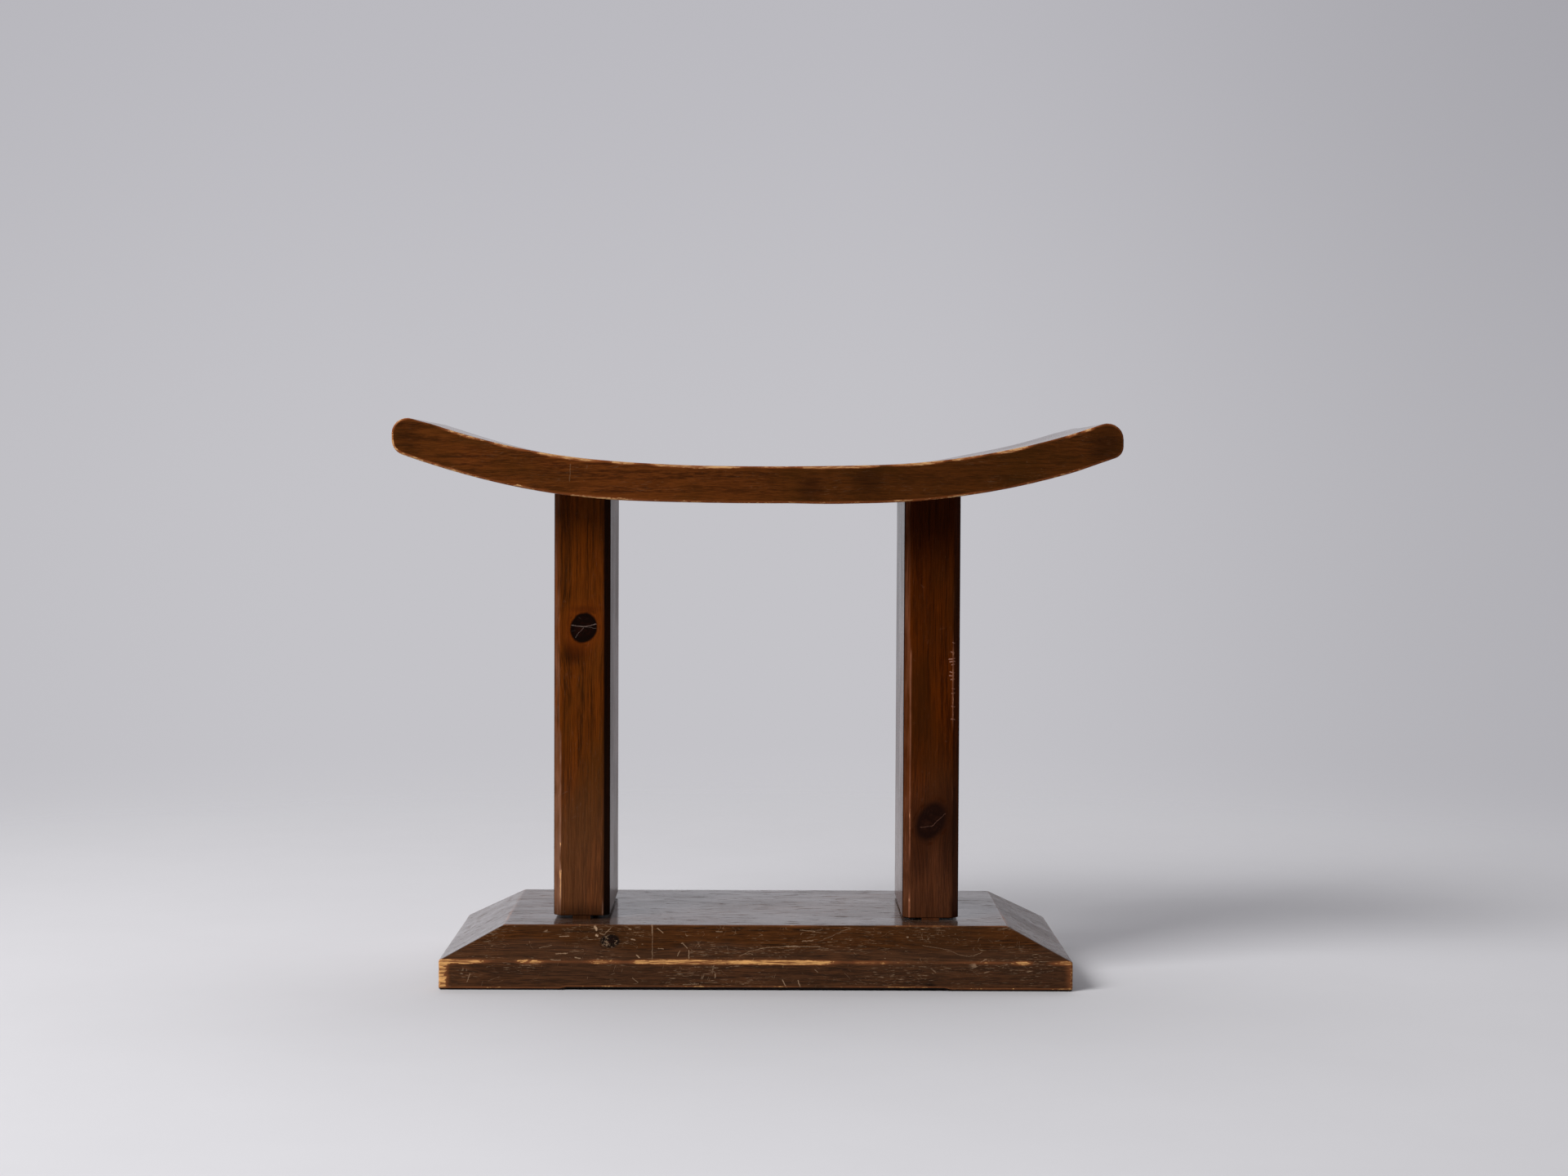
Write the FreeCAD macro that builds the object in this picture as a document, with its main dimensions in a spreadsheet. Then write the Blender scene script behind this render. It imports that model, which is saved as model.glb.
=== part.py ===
import FreeCAD, Part
import math
import os
import re
from enum import IntEnum

import Sketcher
from FreeCAD import Placement, Rotation, Vector

# A rigid plank stool: a saddle seat on two upright boards over a bevelled base plank.
# Frame: X along the seat, Y through its depth with the front at -Y, Z up, and the
# origin on the floor under the middle of the base.

# Driving dimensions in millimetres.
SIZES = {
    # The seat is sawn to a saddle: a nearly flat middle arc and a tighter arc at each end.
    "seat_length": 560,
    "seat_depth": 224,
    "seat_thickness": 28.5,
    "seat_height": 403,
    "seat_middle_radius": 3000,
    "seat_middle_length": 180,
    "seat_end_radius": 570,
    "seat_end_round": 9.5,
    "seat_arris": 1.5,
    # The base is one plank with wide bevels at its ends and steep ones along its sides.
    "base_length": 488,
    "base_depth": 230,
    "base_height": 47.5,
    "base_edge_height": 22.5,
    "base_end_bevel": 49,
    "base_side_bevel": 21,
    # The underside is hollowed between the feet, so that the tenon ends clear the floor.
    "relief_depth": 1.5,
    "relief_ramp": 6,
    "relief_margin": 1,
    # Each leg is one upright board with chamfered corners.
    "leg_width": 44,
    "leg_depth": 134,
    "leg_spacing": 274,
    "leg_chamfer": 4.5,
    "left_shoulder_gap": 2.8,
    "right_shoulder_gap": 1.7,
    # Twin through tenons at both ends of a leg, each spread by one wedge.
    "tenon_thickness": 14,
    "tenon_width": 42,
    "joint_clearance": 0.1,
    "scribe_clearance": 0.2,
    "wedge_thickness": 4,
    "wedge_tip": 1,
    "wedge_stub": 4,
    "kerf_web": 10,
    # How far a trimming cut runs past the piece that it trims.
    "saw_run_out": 8,
}

SHEET = "Sizes"

# Derived sizes, as expressions of the driving dimensions.
SEAT_HALF = "seat_length / 2"
MIDDLE_HALF = "seat_middle_length / 2"
LEG_X = "leg_spacing / 2"
TENON_Y = "(leg_depth - tenon_width) / 2"
BLANK_TOP = "seat_height + seat_length / 2"
MIDDLE_CENTRE_Z = "seat_height + seat_middle_radius"
CENTRE_SHARE = "(1 - seat_end_radius / seat_middle_radius)"
JUNCTION_RISE = f"sqrt(seat_middle_radius ^ 2 - ({MIDDLE_HALF}) ^ 2)"
END_CENTRE_X = f"{MIDDLE_HALF} * {CENTRE_SHARE}"
END_CENTRE_Z = f"({MIDDLE_CENTRE_Z} - {JUNCTION_RISE} * {CENTRE_SHARE})"
TOP_ON_MIDDLE = f"{MIDDLE_CENTRE_Z} - sqrt(seat_middle_radius ^ 2 - ({LEG_X}) ^ 2)"
TOP_ON_END = f"{END_CENTRE_Z} - sqrt(seat_end_radius ^ 2 - ({LEG_X} - {END_CENTRE_X}) ^ 2)"
SEAT_TOP_AT_LEG = f"(leg_spacing > seat_middle_length ? {TOP_ON_END} : {TOP_ON_MIDDLE})"
RELIEF_FLAT = f"{LEG_X} + tenon_thickness / 2 + relief_margin"

Y_DIRECTION = Vector(0, 1, 0)
Z_DIRECTION = Vector(0, 0, 1)


class Axis(IntEnum):
    """A sketch's numbers for its own axes; its origin is the start of the first."""

    ACROSS = -1
    UP = -2


class Spot(IntEnum):
    """A sketch's numbers for the points of a line or an arc."""

    START = 1
    END = 2
    CENTRE = 3


ORIGIN = (Axis.ACROSS, Spot.START)
START, END, CENTRE = Spot

doc = FreeCAD.newDocument("Stool")
sheet = doc.addObject("Spreadsheet::Sheet", SHEET)
for row, (alias, size) in enumerate(SIZES.items(), start=1):
    sheet.set(f"A{row}", alias)
    sheet.set(f"B{row}", str(size))
    sheet.setAlias(f"B{row}", alias)
doc.recompute()

cuts = []


def linked(text):
    """The expression with each alias read from the sheet."""
    return re.sub(r"[a-z]+(?:_[a-z]+)+", lambda found: f"{SHEET}.{found.group()}", text)


def number(text):
    """The expression's value now, in millimetres."""
    return float(sheet.evalExpression(linked(text)))


def same(first, second):
    """Whether two lengths agree within the modelling tolerance."""
    tolerance = 1e-5
    return abs(first - second) < tolerance


def new_body(label):
    """An empty body that becomes the sub-part of that name."""
    body = doc.addObject("PartDesign::Body", label)
    body.Label = label
    return body


def new_sketch(body, name, role, lift=None):
    """A sketch on one of the body's origin planes, lifted off it by an expression."""
    sketch = body.newObject("Sketcher::SketchObject", f"{body.Label}_{name}")
    plane = next(item for item in body.Origin.OriginFeatures if item.Role == role)
    sketch.AttachmentSupport = [(plane, "")]
    sketch.MapMode = "FlatFace"
    if lift:
        sketch.setExpression("AttachmentOffset.Base.z", linked(lift))
    return sketch


def constrain(sketch, kind, *places, size):
    """A dimension whose value follows the expression."""
    index = sketch.addConstraint(Sketcher.Constraint(kind, *places, number(size)))
    sketch.setExpression(f"Constraints[{index}]", linked(size))


def pin(sketch, curve, point, across, up):
    """Hold a point at its distances from the sketch's origin."""
    for kind, axis, text in (("DistanceX", Axis.UP, across), ("DistanceY", Axis.ACROSS, up)):
        value = number(text)
        if same(value, 0):
            sketch.addConstraint(Sketcher.Constraint("PointOnObject", curve, point, axis))
        elif value > 0:
            constrain(sketch, kind, *ORIGIN, curve, point, size=text)
        else:
            constrain(sketch, kind, curve, point, *ORIGIN, size=f"-({text})")


def outline(sketch, corners):
    """A closed run of straight lines through corners given as pairs of expressions."""
    points = [Vector(number(across), number(up), 0) for across, up in corners]
    lines = []
    for start, end in zip(points, points[1:] + points[:1]):
        lines.append(sketch.addGeometry(Part.LineSegment(start, end)))
    for line, following in zip(lines, lines[1:] + lines[:1]):
        sketch.addConstraint(Sketcher.Constraint("Coincident", line, END, following, START))
    for line, (across, up) in zip(lines, corners):
        pin(sketch, line, START, across, up)


def rectangle(sketch, middle, breadth, length):
    """A rectangle about a middle point, all given as expressions."""
    across, up = middle
    left, right = f"{across} - ({breadth}) / 2", f"{across} + ({breadth}) / 2"
    low, high = f"{up} - ({length}) / 2", f"{up} + ({length}) / 2"
    outline(sketch, [(left, low), (right, low), (right, high), (left, high)])


def lower_arc(sketch, centre, radius, start_x, end_x):
    """The part of a circle below its centre, between two places across the sketch."""
    start = 1.5 * math.pi + math.asin((start_x - centre.x) / radius)
    end = 1.5 * math.pi + math.asin((end_x - centre.x) / radius)
    circle = Part.Circle(centre, Z_DIRECTION, radius)
    return sketch.addGeometry(Part.ArcOfCircle(circle, start, end))


def saddle(sketch, below, reach):
    """The seat's three tangent arcs, a distance below its top, out to a reach each way.

    Returns the left, middle and right arc, each running from left to right.
    """
    middle_radius = f"(seat_middle_radius + {below})"
    end_radius = f"seat_end_radius + {below}"
    junction = f"{MIDDLE_HALF} * {middle_radius} / seat_middle_radius"
    middle_centre = Vector(0, number(MIDDLE_CENTRE_Z), 0)
    end_centre = Vector(number(END_CENTRE_X), number(END_CENTRE_Z), 0)
    mirrored = Vector(-end_centre.x, end_centre.y, 0)
    joint_x, end_x, radius = number(junction), number(reach), number(end_radius)
    left = lower_arc(sketch, mirrored, radius, -end_x, -joint_x)
    middle = lower_arc(sketch, middle_centre, number(middle_radius), -joint_x, joint_x)
    right = lower_arc(sketch, end_centre, radius, joint_x, end_x)
    sketch.addConstraint(Sketcher.Constraint("PointOnObject", middle, CENTRE, Axis.UP))
    sketch.addConstraint(Sketcher.Constraint("Tangent", left, END, middle, START))
    sketch.addConstraint(Sketcher.Constraint("Tangent", middle, END, right, START))
    constrain(sketch, "DistanceY", *ORIGIN, middle, CENTRE, size=MIDDLE_CENTRE_Z)
    constrain(sketch, "Radius", middle, size=middle_radius)
    constrain(sketch, "DistanceX", middle, START, *ORIGIN, size=junction)
    constrain(sketch, "DistanceX", *ORIGIN, middle, END, size=junction)
    for arc in (left, right):
        constrain(sketch, "Radius", arc, size=end_radius)
    constrain(sketch, "DistanceX", left, START, *ORIGIN, size=reach)
    constrain(sketch, "DistanceX", *ORIGIN, right, END, size=reach)
    return left, middle, right


def joining_line(sketch, first, first_point, second, second_point):
    """A straight line from a point of one arc to a point of another."""
    line = sketch.addGeometry(
        Part.LineSegment(sketch.getPoint(first, first_point), sketch.getPoint(second, second_point))
    )
    sketch.addConstraint(Sketcher.Constraint("Coincident", line, START, first, first_point))
    sketch.addConstraint(Sketcher.Constraint("Coincident", line, END, second, second_point))


def saddle_lid(sketch, below):
    """The region over the saddle curve, closed by straight lines above any blank."""
    reach = f"{SEAT_HALF} + saw_run_out"
    lid = f"{BLANK_TOP} + saw_run_out"
    left, _, right = saddle(sketch, below, reach)
    top_left = Vector(-number(reach), number(lid), 0)
    top_right = Vector(number(reach), number(lid), 0)
    up = sketch.addGeometry(Part.LineSegment(sketch.getPoint(right, END), top_right))
    over = sketch.addGeometry(Part.LineSegment(top_right, top_left))
    down = sketch.addGeometry(Part.LineSegment(top_left, sketch.getPoint(left, START)))
    corners = ((right, END, up), (up, END, over), (over, END, down))
    for curve, point, following in corners:
        sketch.addConstraint(Sketcher.Constraint("Coincident", curve, point, following, START))
    sketch.addConstraint(Sketcher.Constraint("Coincident", down, END, left, START))
    sketch.addConstraint(Sketcher.Constraint("Vertical", up))
    sketch.addConstraint(Sketcher.Constraint("Horizontal", over))
    sketch.addConstraint(Sketcher.Constraint("Vertical", down))
    constrain(sketch, "DistanceY", *ORIGIN, up, END, size=lid)


def pad(body, sketch, length, side="One side"):
    """Material along the sketch's normal, or to both sides of the sketch."""
    feature = body.newObject("PartDesign::Pad", f"{sketch.Name}_pad")
    feature.Profile = sketch
    feature.SideType = side
    feature.setExpression("Length", linked(length))
    doc.recompute()
    return feature


def pocket(body, sketch):
    """A cut right through the body, to both sides of the sketch."""
    before = body.Shape.Volume
    feature = body.newObject("PartDesign::Pocket", f"{sketch.Name}_pocket")
    feature.Profile = sketch
    feature.SideType = "Symmetric"
    feature.Type = "ThroughAll"
    doc.recompute()
    cuts.append((feature.Label, before, feature.Shape.Volume))
    return feature


def runs_along(edge, axis):
    """Whether a straight edge is parallel to an axis."""
    run = edge.Vertexes[-1].Point - edge.Vertexes[0].Point
    return same(edge.Length, abs(run.dot(axis)))


def edges_where(feature, chosen):
    """The names of the feature's edges that meet a condition."""
    edges = enumerate(feature.Shape.Edges, start=1)
    return [f"Edge{index}" for index, edge in edges if chosen(edge)]


def dress(body, kind, prop, base, edges, size):
    """A Fillet or Chamfer on named edges of the base feature."""
    feature = body.newObject(f"PartDesign::{kind}", f"{base.Name}_{kind}")
    feature.Base = (base, edges)
    feature.setExpression(prop, linked(size))
    doc.recompute()
    return feature


def mortises(body, sketch):
    """The four holes that the twin tenons of both legs pass through."""
    breadth = "tenon_thickness + 2 * joint_clearance"
    length = "tenon_width + 2 * joint_clearance"
    for across in (f"-({LEG_X})", LEG_X):
        for along in (f"-({TENON_Y})", TENON_Y):
            rectangle(sketch, (across, along), breadth, length)
    pocket(body, sketch)


def build_seat():
    """The saddle plank, with rounded ends, softened arrises and mortises."""
    body = new_body("seat")
    profile = new_sketch(body, "profile", "XZ_Plane")
    top = saddle(profile, "0", SEAT_HALF)
    underside = saddle(profile, "seat_thickness", SEAT_HALF)
    joining_line(profile, top[0], START, underside[0], START)
    joining_line(profile, top[-1], END, underside[-1], END)
    plank = pad(body, profile, "seat_depth", "Symmetric")
    half_length, half_depth = number(SEAT_HALF), number("seat_depth / 2")
    ends = edges_where(
        plank,
        lambda edge: runs_along(edge, Y_DIRECTION) and same(abs(edge.CenterOfMass.x), half_length),
    )
    rounded = dress(body, "Fillet", "Radius", plank, ends, "min(seat_end_round; seat_thickness / 3)")
    rims = edges_where(rounded, lambda edge: same(abs(edge.CenterOfMass.y), half_depth))
    dress(body, "Fillet", "Radius", rounded, rims, "seat_arris")
    mortises(body, new_sketch(body, "mortises", "XY_Plane"))
    return body


def bevel(body, name, role, half, run):
    """Cut the same sloping face off both ends of one horizontal direction of the base."""
    sketch = new_sketch(body, name, role)
    for sign in ("", "-"):
        edge, top = f"{sign}({half})", f"{sign}({half} - {run})"
        outline(sketch, [(edge, "base_edge_height"), (edge, "base_height"), (top, "base_height")])
    pocket(body, sketch)


def build_base():
    """The base plank with its four bevels, its hollowed underside and mortises."""
    body = new_body("base")
    plan = new_sketch(body, "plan", "XY_Plane")
    rectangle(plan, ("0", "0"), "base_length", "base_depth")
    pad(body, plan, "base_height")
    bevel(body, "end_bevels", "XZ_Plane", "base_length / 2", "base_end_bevel")
    bevel(body, "side_bevels", "YZ_Plane", "base_depth / 2", "base_side_bevel")
    relief = new_sketch(body, "relief", "XZ_Plane")
    foot = f"{RELIEF_FLAT} + relief_ramp"
    outline(relief, [
        (f"-({foot})", "0"), (foot, "0"),
        (RELIEF_FLAT, "relief_depth"), (f"-({RELIEF_FLAT})", "relief_depth"),
    ])
    pocket(body, relief)
    mortises(body, new_sketch(body, "mortises", "XY_Plane"))
    return body


def seat_wedge_outline(sketch):
    """A wedge driven down from over the seat, before its stub is trimmed flush."""
    outline(sketch, [
        (f"{LEG_X} - wedge_tip / 2", f"{SEAT_TOP_AT_LEG} - seat_thickness + kerf_web"),
        (f"{LEG_X} + wedge_tip / 2", f"{SEAT_TOP_AT_LEG} - seat_thickness + kerf_web"),
        (f"{LEG_X} + wedge_thickness / 2", f"{SEAT_TOP_AT_LEG} + wedge_stub"),
        (f"{LEG_X} - wedge_thickness / 2", f"{SEAT_TOP_AT_LEG} + wedge_stub"),
    ])


def base_wedge_outline(sketch):
    """A wedge driven up from under the base, flush with the hollowed underside."""
    outline(sketch, [
        (f"{LEG_X} - wedge_thickness / 2", "relief_depth"),
        (f"{LEG_X} + wedge_thickness / 2", "relief_depth"),
        (f"{LEG_X} + wedge_tip / 2", "base_height - kerf_web"),
        (f"{LEG_X} - wedge_tip / 2", "base_height - kerf_web"),
    ])


def place_on_side(body, side):
    """Turn a piece that is drawn on the right half way round for the left."""
    turn = 180 if side == "left" else 0
    body.Placement = Placement(Vector(), Rotation(Z_DIRECTION, turn))


def build_leg(side):
    """An upright board, scribed to the seat's underside, with slotted twin tenons."""
    body = new_body(f"{side}_leg")
    shoulder = f"base_height + {side}_shoulder_gap"
    plan = new_sketch(body, "plan", "XY_Plane", shoulder)
    rectangle(plan, (LEG_X, "0"), "leg_width", "leg_depth")
    board = pad(body, plan, f"{BLANK_TOP} - ({shoulder})")
    upright = edges_where(board, lambda edge: runs_along(edge, Z_DIRECTION))
    dress(body, "Chamfer", "Size", board, upright, "leg_chamfer")
    scribe = new_sketch(body, "scribe", "XZ_Plane")
    saddle_lid(scribe, "seat_thickness + scribe_clearance")
    pocket(body, scribe)
    tenons = new_sketch(body, "tenons", "XY_Plane", "relief_depth")
    for along in (f"-({TENON_Y})", TENON_Y):
        rectangle(tenons, (LEG_X, along), "tenon_thickness", "tenon_width")
    pad(body, tenons, f"{BLANK_TOP} - relief_depth")
    flush = new_sketch(body, "flush", "XZ_Plane")
    saddle_lid(flush, "0")
    pocket(body, flush)
    for name, draw in (("seat_kerf", seat_wedge_outline), ("base_kerf", base_wedge_outline)):
        kerf = new_sketch(body, name, "XZ_Plane")
        draw(kerf)
        pocket(body, kerf)
    place_on_side(body, side)
    return body


def build_wedge(side, face, end):
    """One wedge of a tenon: at the front or back of a leg, in its seat or base end."""
    body = new_body(f"{side}_{face}_{end}_wedge")
    # The left side is turned half way round, so its front is drawn at the back.
    drawn_behind = (face == "back") == (side == "right")
    near = f"{TENON_Y} - tenon_width / 2" if drawn_behind else f"-({TENON_Y}) - tenon_width / 2"
    # The upright plane's normal points to -Y, so the far face of the tenon comes first.
    profile = new_sketch(body, "profile", "XZ_Plane", f"-({near} + tenon_width)")
    if end == "seat":
        seat_wedge_outline(profile)
    else:
        base_wedge_outline(profile)
    pad(body, profile, "tenon_width")
    if end == "seat":
        flush = new_sketch(body, "flush", "XZ_Plane")
        saddle_lid(flush, "0")
        pocket(body, flush)
    place_on_side(body, side)
    return body


pieces = [build_seat(), build_base()]
for side in ("left", "right"):
    pieces.append(build_leg(side))
    for face in ("front", "back"):
        for end in ("seat", "base"):
            pieces.append(build_wedge(side, face, end))
doc.recompute()

for item in doc.Objects:
    if "Invalid" in item.State or "Error" in item.State:
        raise RuntimeError(f"{item.Label} failed: {item.State}")
for label, before, after in cuts:
    if after >= before:
        raise RuntimeError(f"{label} cuts nothing")
for piece in pieces:
    if piece.Shape.isNull() or not piece.Shape.isValid() or len(piece.Shape.Solids) != 1:
        raise RuntimeError(f"{piece.Label} is not one valid solid")

os.makedirs("parts", exist_ok=True)
for piece in pieces:
    piece.Shape.exportStep(f"parts/{piece.Label}.step")
    box = piece.Shape.BoundBox
    print(
        f"{piece.Label}: {piece.Shape.Volume / 1000:.1f} cm3, "
        f"x {box.XMin:.1f} to {box.XMax:.1f}, y {box.YMin:.1f} to {box.YMax:.1f}, "
        f"z {box.ZMin:.1f} to {box.ZMax:.1f}"
    )
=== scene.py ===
"""Plank stool with a saddle seat: its meshes, finishes, light and camera around the CAD frame."""

import logging
import math
from collections.abc import Callable, Iterable, Sequence
from dataclasses import dataclass, field
from enum import Enum
from functools import partial

import bmesh
import bpy
import numpy as np
from mathutils import Matrix, Vector, noise


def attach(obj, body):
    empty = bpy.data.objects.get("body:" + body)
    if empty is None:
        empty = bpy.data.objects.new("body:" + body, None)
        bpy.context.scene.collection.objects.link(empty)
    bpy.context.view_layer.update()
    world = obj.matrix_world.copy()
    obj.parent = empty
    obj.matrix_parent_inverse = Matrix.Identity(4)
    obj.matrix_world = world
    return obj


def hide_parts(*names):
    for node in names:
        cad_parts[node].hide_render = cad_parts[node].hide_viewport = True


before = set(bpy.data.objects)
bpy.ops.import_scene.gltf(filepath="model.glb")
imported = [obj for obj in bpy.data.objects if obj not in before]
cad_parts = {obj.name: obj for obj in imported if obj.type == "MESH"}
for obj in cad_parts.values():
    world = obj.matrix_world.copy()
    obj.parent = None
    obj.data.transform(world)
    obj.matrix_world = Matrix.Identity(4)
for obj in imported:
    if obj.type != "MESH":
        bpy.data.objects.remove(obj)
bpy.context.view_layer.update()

LOG = logging.getLogger("stool")
BODY = "root"
MM = 0.001
# The mesh attribute from which the finishes read how far each point is rubbed; a value below zero paints
# shade there instead.
RUB = "rub"
# Points nearer than this are joined, and edges sharper than this stay crisp.
WELD = 0.004 * MM
SHARP = math.radians(38.0)
# The bumps to a millimetre in the slow drift of the rubbing.
SLOW = 0.03
# The swings of the rubbing in a worn stretch: strength, row of the unevenness, bumps to a millimetre.
RUB_SWINGS = ((0.12, 0.0, 0.11), (0.08, 50.0, 0.37))
# The rubbing from which a stretch swings.
RAGGED_FROM = 0.3

Point = tuple[float, float, float]
Spot = tuple[float, float]
Colour = tuple[float, float, float, float]
Cell = tuple[int, ...]
Socket = bpy.types.NodeSocket
Outputs = bpy.types.NodeOutputs
Tree = bpy.types.NodeTree
Feed = Socket | float | Sequence[float]
Shape = Callable[[float], float]
Settle = Callable[[float, float], tuple[Point, float]]


def tone(red: float, green: float, blue: float) -> Colour:
    """Turn screen values into a shader colour.

    Args:
        red: Red from 0 to 255.
        green: Green from 0 to 255.
        blue: Blue from 0 to 255.

    Returns:
        The linear colour with full alpha.
    """
    linear = []
    for value in (red, green, blue):
        share = value / 255.0
        linear.append(share / 12.92 if share <= 0.04045 else ((share + 0.055) / 1.055) ** 2.4)
    return (linear[0], linear[1], linear[2], 1.0)


def ease(value: float, start: float, end: float) -> float:
    """Rise smoothly from 0 at the start to 1 at the end."""
    share = min(max((value - start) / (end - start), 0.0), 1.0)
    return share * share * (3.0 - 2.0 * share)


def ragged(x: float, y: float, z: float, scale: float) -> float:
    """Give a repeatable unevenness from -1 to 1 at a place in millimetres, with scale bumps to each."""
    return noise.noise(Vector((x * scale, y * scale, z * scale)))


def drifting(level: float, swing: float, x: float, y: float, z: float) -> float:
    """Give a level of rubbing that drifts slowly from place to place."""
    return level + swing * ragged(x, y, z, SLOW)


def in_scene(name: str, data: bpy.types.ID) -> bpy.types.Object:
    """Make an object and link it into the scene.

    Args:
        name: The object's name.
        data: Its mesh, lamp or camera.

    Returns:
        The object.
    """
    made = bpy.data.objects.new(name, data)
    bpy.context.scene.collection.objects.link(made)
    return made


class GrainRun(Enum):
    """Which way a piece's fibres run: its axes with the fibres' own axis first."""

    ALONG = ("X", "Y", "Z")
    UPRIGHT = ("Z", "X", "Y")


class Side(Enum):
    """The side of the stool on which a leg stands."""

    LEFT = -1
    RIGHT = 1

    @property
    def word(self) -> str:
        """Give the side's word as the CAD nodes spell it."""
        return self.name.lower()


class Corner(Enum):
    """The upright corners of a board, each by its signs along and through the depth."""

    LEFT_FRONT = (-1, -1)
    RIGHT_FRONT = (1, -1)
    RIGHT_BACK = (1, 1)
    LEFT_BACK = (-1, 1)

    @classmethod
    def of(cls, x: float, y: float) -> "Corner":
        """Give the corner on whose side a place lies."""
        return cls((-1 if x < 0 else 1, -1 if y < 0 else 1))


class Edge(Enum):
    """The edges round the base, each with how far it is rubbed all along; the floor edge's value is the
    strength of a painted contact shadow.
    """

    NONE = 0.0
    FLOOR = 0.8
    LOW = 0.58
    ARRIS = 0.46
    TOP = 0.5


class NodeBench:
    """Places shader nodes in one tree and joins their sockets."""

    def __init__(self, tree: Tree) -> None:
        """Keep the tree that the nodes go into."""
        self.tree = tree

    @classmethod
    def cleared(cls, owner: bpy.types.Material | bpy.types.World) -> "NodeBench":
        """Start afresh in the tree of a material or a world.

        Args:
            owner: The material or world.

        Returns:
            The bench for its emptied tree.
        """
        owner.use_nodes = True
        owner.node_tree.nodes.clear()
        return cls(owner.node_tree)

    def put(self, kind: str, **settings: object) -> bpy.types.Node:
        """Place a node.

        Args:
            kind: The node's type.
            **settings: Properties to set on it.

        Returns:
            The node.
        """
        node = self.tree.nodes.new(kind)
        for name, value in settings.items():
            setattr(node, name, value)
        return node

    def feed(self, socket: Socket, value: Feed) -> None:
        """Join a socket to another one, or set its own value.

        Args:
            socket: The input to feed.
            value: A socket, a number or a row of numbers.
        """
        if isinstance(value, Socket):
            self.tree.links.new(value, socket)
        else:
            socket.default_value = value

    def feed_all(self, node: bpy.types.Node, **values: Feed) -> bpy.types.Node:
        """Feed a node's inputs by name.

        Args:
            node: The node.
            **values: What feeds its inputs.

        Returns:
            The node.
        """
        for name, value in values.items():
            self.feed(node.inputs[name], value)
        return node

    def math(self, operation: str, *values: Feed) -> Socket:
        """Work out one number.

        Args:
            operation: The Math node's operation.
            *values: Its inputs.

        Returns:
            The result's socket.
        """
        node = self.put("ShaderNodeMath", operation=operation)
        for socket, value in zip(node.inputs, values):
            self.feed(socket, value)
        return node.outputs[0]

    def times(self, first: Feed, second: Feed) -> Socket:
        """Multiply two numbers."""
        return self.math("MULTIPLY", first, second)

    def plus(self, value: Feed, factor: Feed, base: Feed) -> Socket:
        """Add a value times a factor to a base."""
        return self.math("MULTIPLY_ADD", value, factor, base)

    def vector(self, operation: str, first: Feed, second: Feed = (0.0, 0.0, 0.0)) -> Socket:
        """Work out one vector, or a number from vectors.

        Args:
            operation: The Vector Math node's operation.
            first: First input.
            second: Second input, or the factor of SCALE.

        Returns:
            The result's socket.
        """
        node = self.put("ShaderNodeVectorMath", operation=operation)
        self.feed(node.inputs[0], first)
        self.feed(node.inputs["Scale"] if operation == "SCALE" else node.inputs[1], second)
        return node.outputs["Value" if operation in {"LENGTH", "DOT_PRODUCT", "DISTANCE"} else "Vector"]

    def parts(self, vector: Feed) -> Outputs:
        """Split a vector into its X, Y and Z."""
        return self.feed_all(self.put("ShaderNodeSeparateXYZ"), Vector=vector).outputs

    def joined(self, x: Feed, y: Feed, z: Feed) -> Socket:
        """Make a vector of three numbers."""
        return self.feed_all(self.put("ShaderNodeCombineXYZ"), X=x, Y=y, Z=z).outputs[0]

    def fade(self, value: Feed, start: float, end: float, low: float = 0.0, high: float = 1.0) -> Socket:
        """Ease a value from one level to another.

        Args:
            value: What is read.
            start: Where the change begins.
            end: Where it is complete.
            low: The level before it.
            high: The level after it.

        Returns:
            The eased level's socket.
        """
        node = self.put("ShaderNodeMapRange", interpolation_type="SMOOTHSTEP")
        for socket, amount in zip(node.inputs, (value, start, end, low, high)):
            self.feed(socket, amount)
        return node.outputs[0]

    def tint(self, share: Feed, under: Feed, over: Feed, blend: str = "MIX") -> Socket:
        """Lay one colour over another.

        Args:
            share: How much of the upper colour shows.
            under: The lower colour.
            over: The upper colour.
            blend: The Mix node's blending.

        Returns:
            The mixed colour's socket.
        """
        node = self.put("ShaderNodeMix", data_type="RGBA", blend_type=blend)
        for number, value in ((0, share), (6, under), (7, over)):
            self.feed(node.inputs[number], value)
        return node.outputs[2]

    def cloud(self, place: Feed, stretch: Point, detail: float, rough: float = 0.55) -> Socket:
        """Read soft noise at a place that is first stretched.

        Args:
            place: The position.
            stretch: What the position is multiplied by.
            detail: How many finer layers are added.
            rough: How strong the finer layers are.

        Returns:
            The noise's socket, from 0 to 1.
        """
        node = self.put("ShaderNodeTexNoise")
        spread = self.vector("MULTIPLY", place, stretch)
        self.feed_all(node, Vector=spread, Scale=1.0, Detail=detail, Roughness=rough)
        return node.outputs[0]

    def swing(self, place: Feed, stretch: Point, detail: float, rough: float = 0.55) -> Socket:
        """Read the same noise about 0, from -0.5 to 0.5."""
        return self.math("SUBTRACT", self.cloud(place, stretch, detail, rough), 0.5)

    def effect(self, group: Tree, **inputs: Feed) -> Outputs:
        """Place one of the shared effects, fed by name, and give what it puts out."""
        return self.feed_all(self.put("ShaderNodeGroup", node_tree=group), **inputs).outputs


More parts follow.
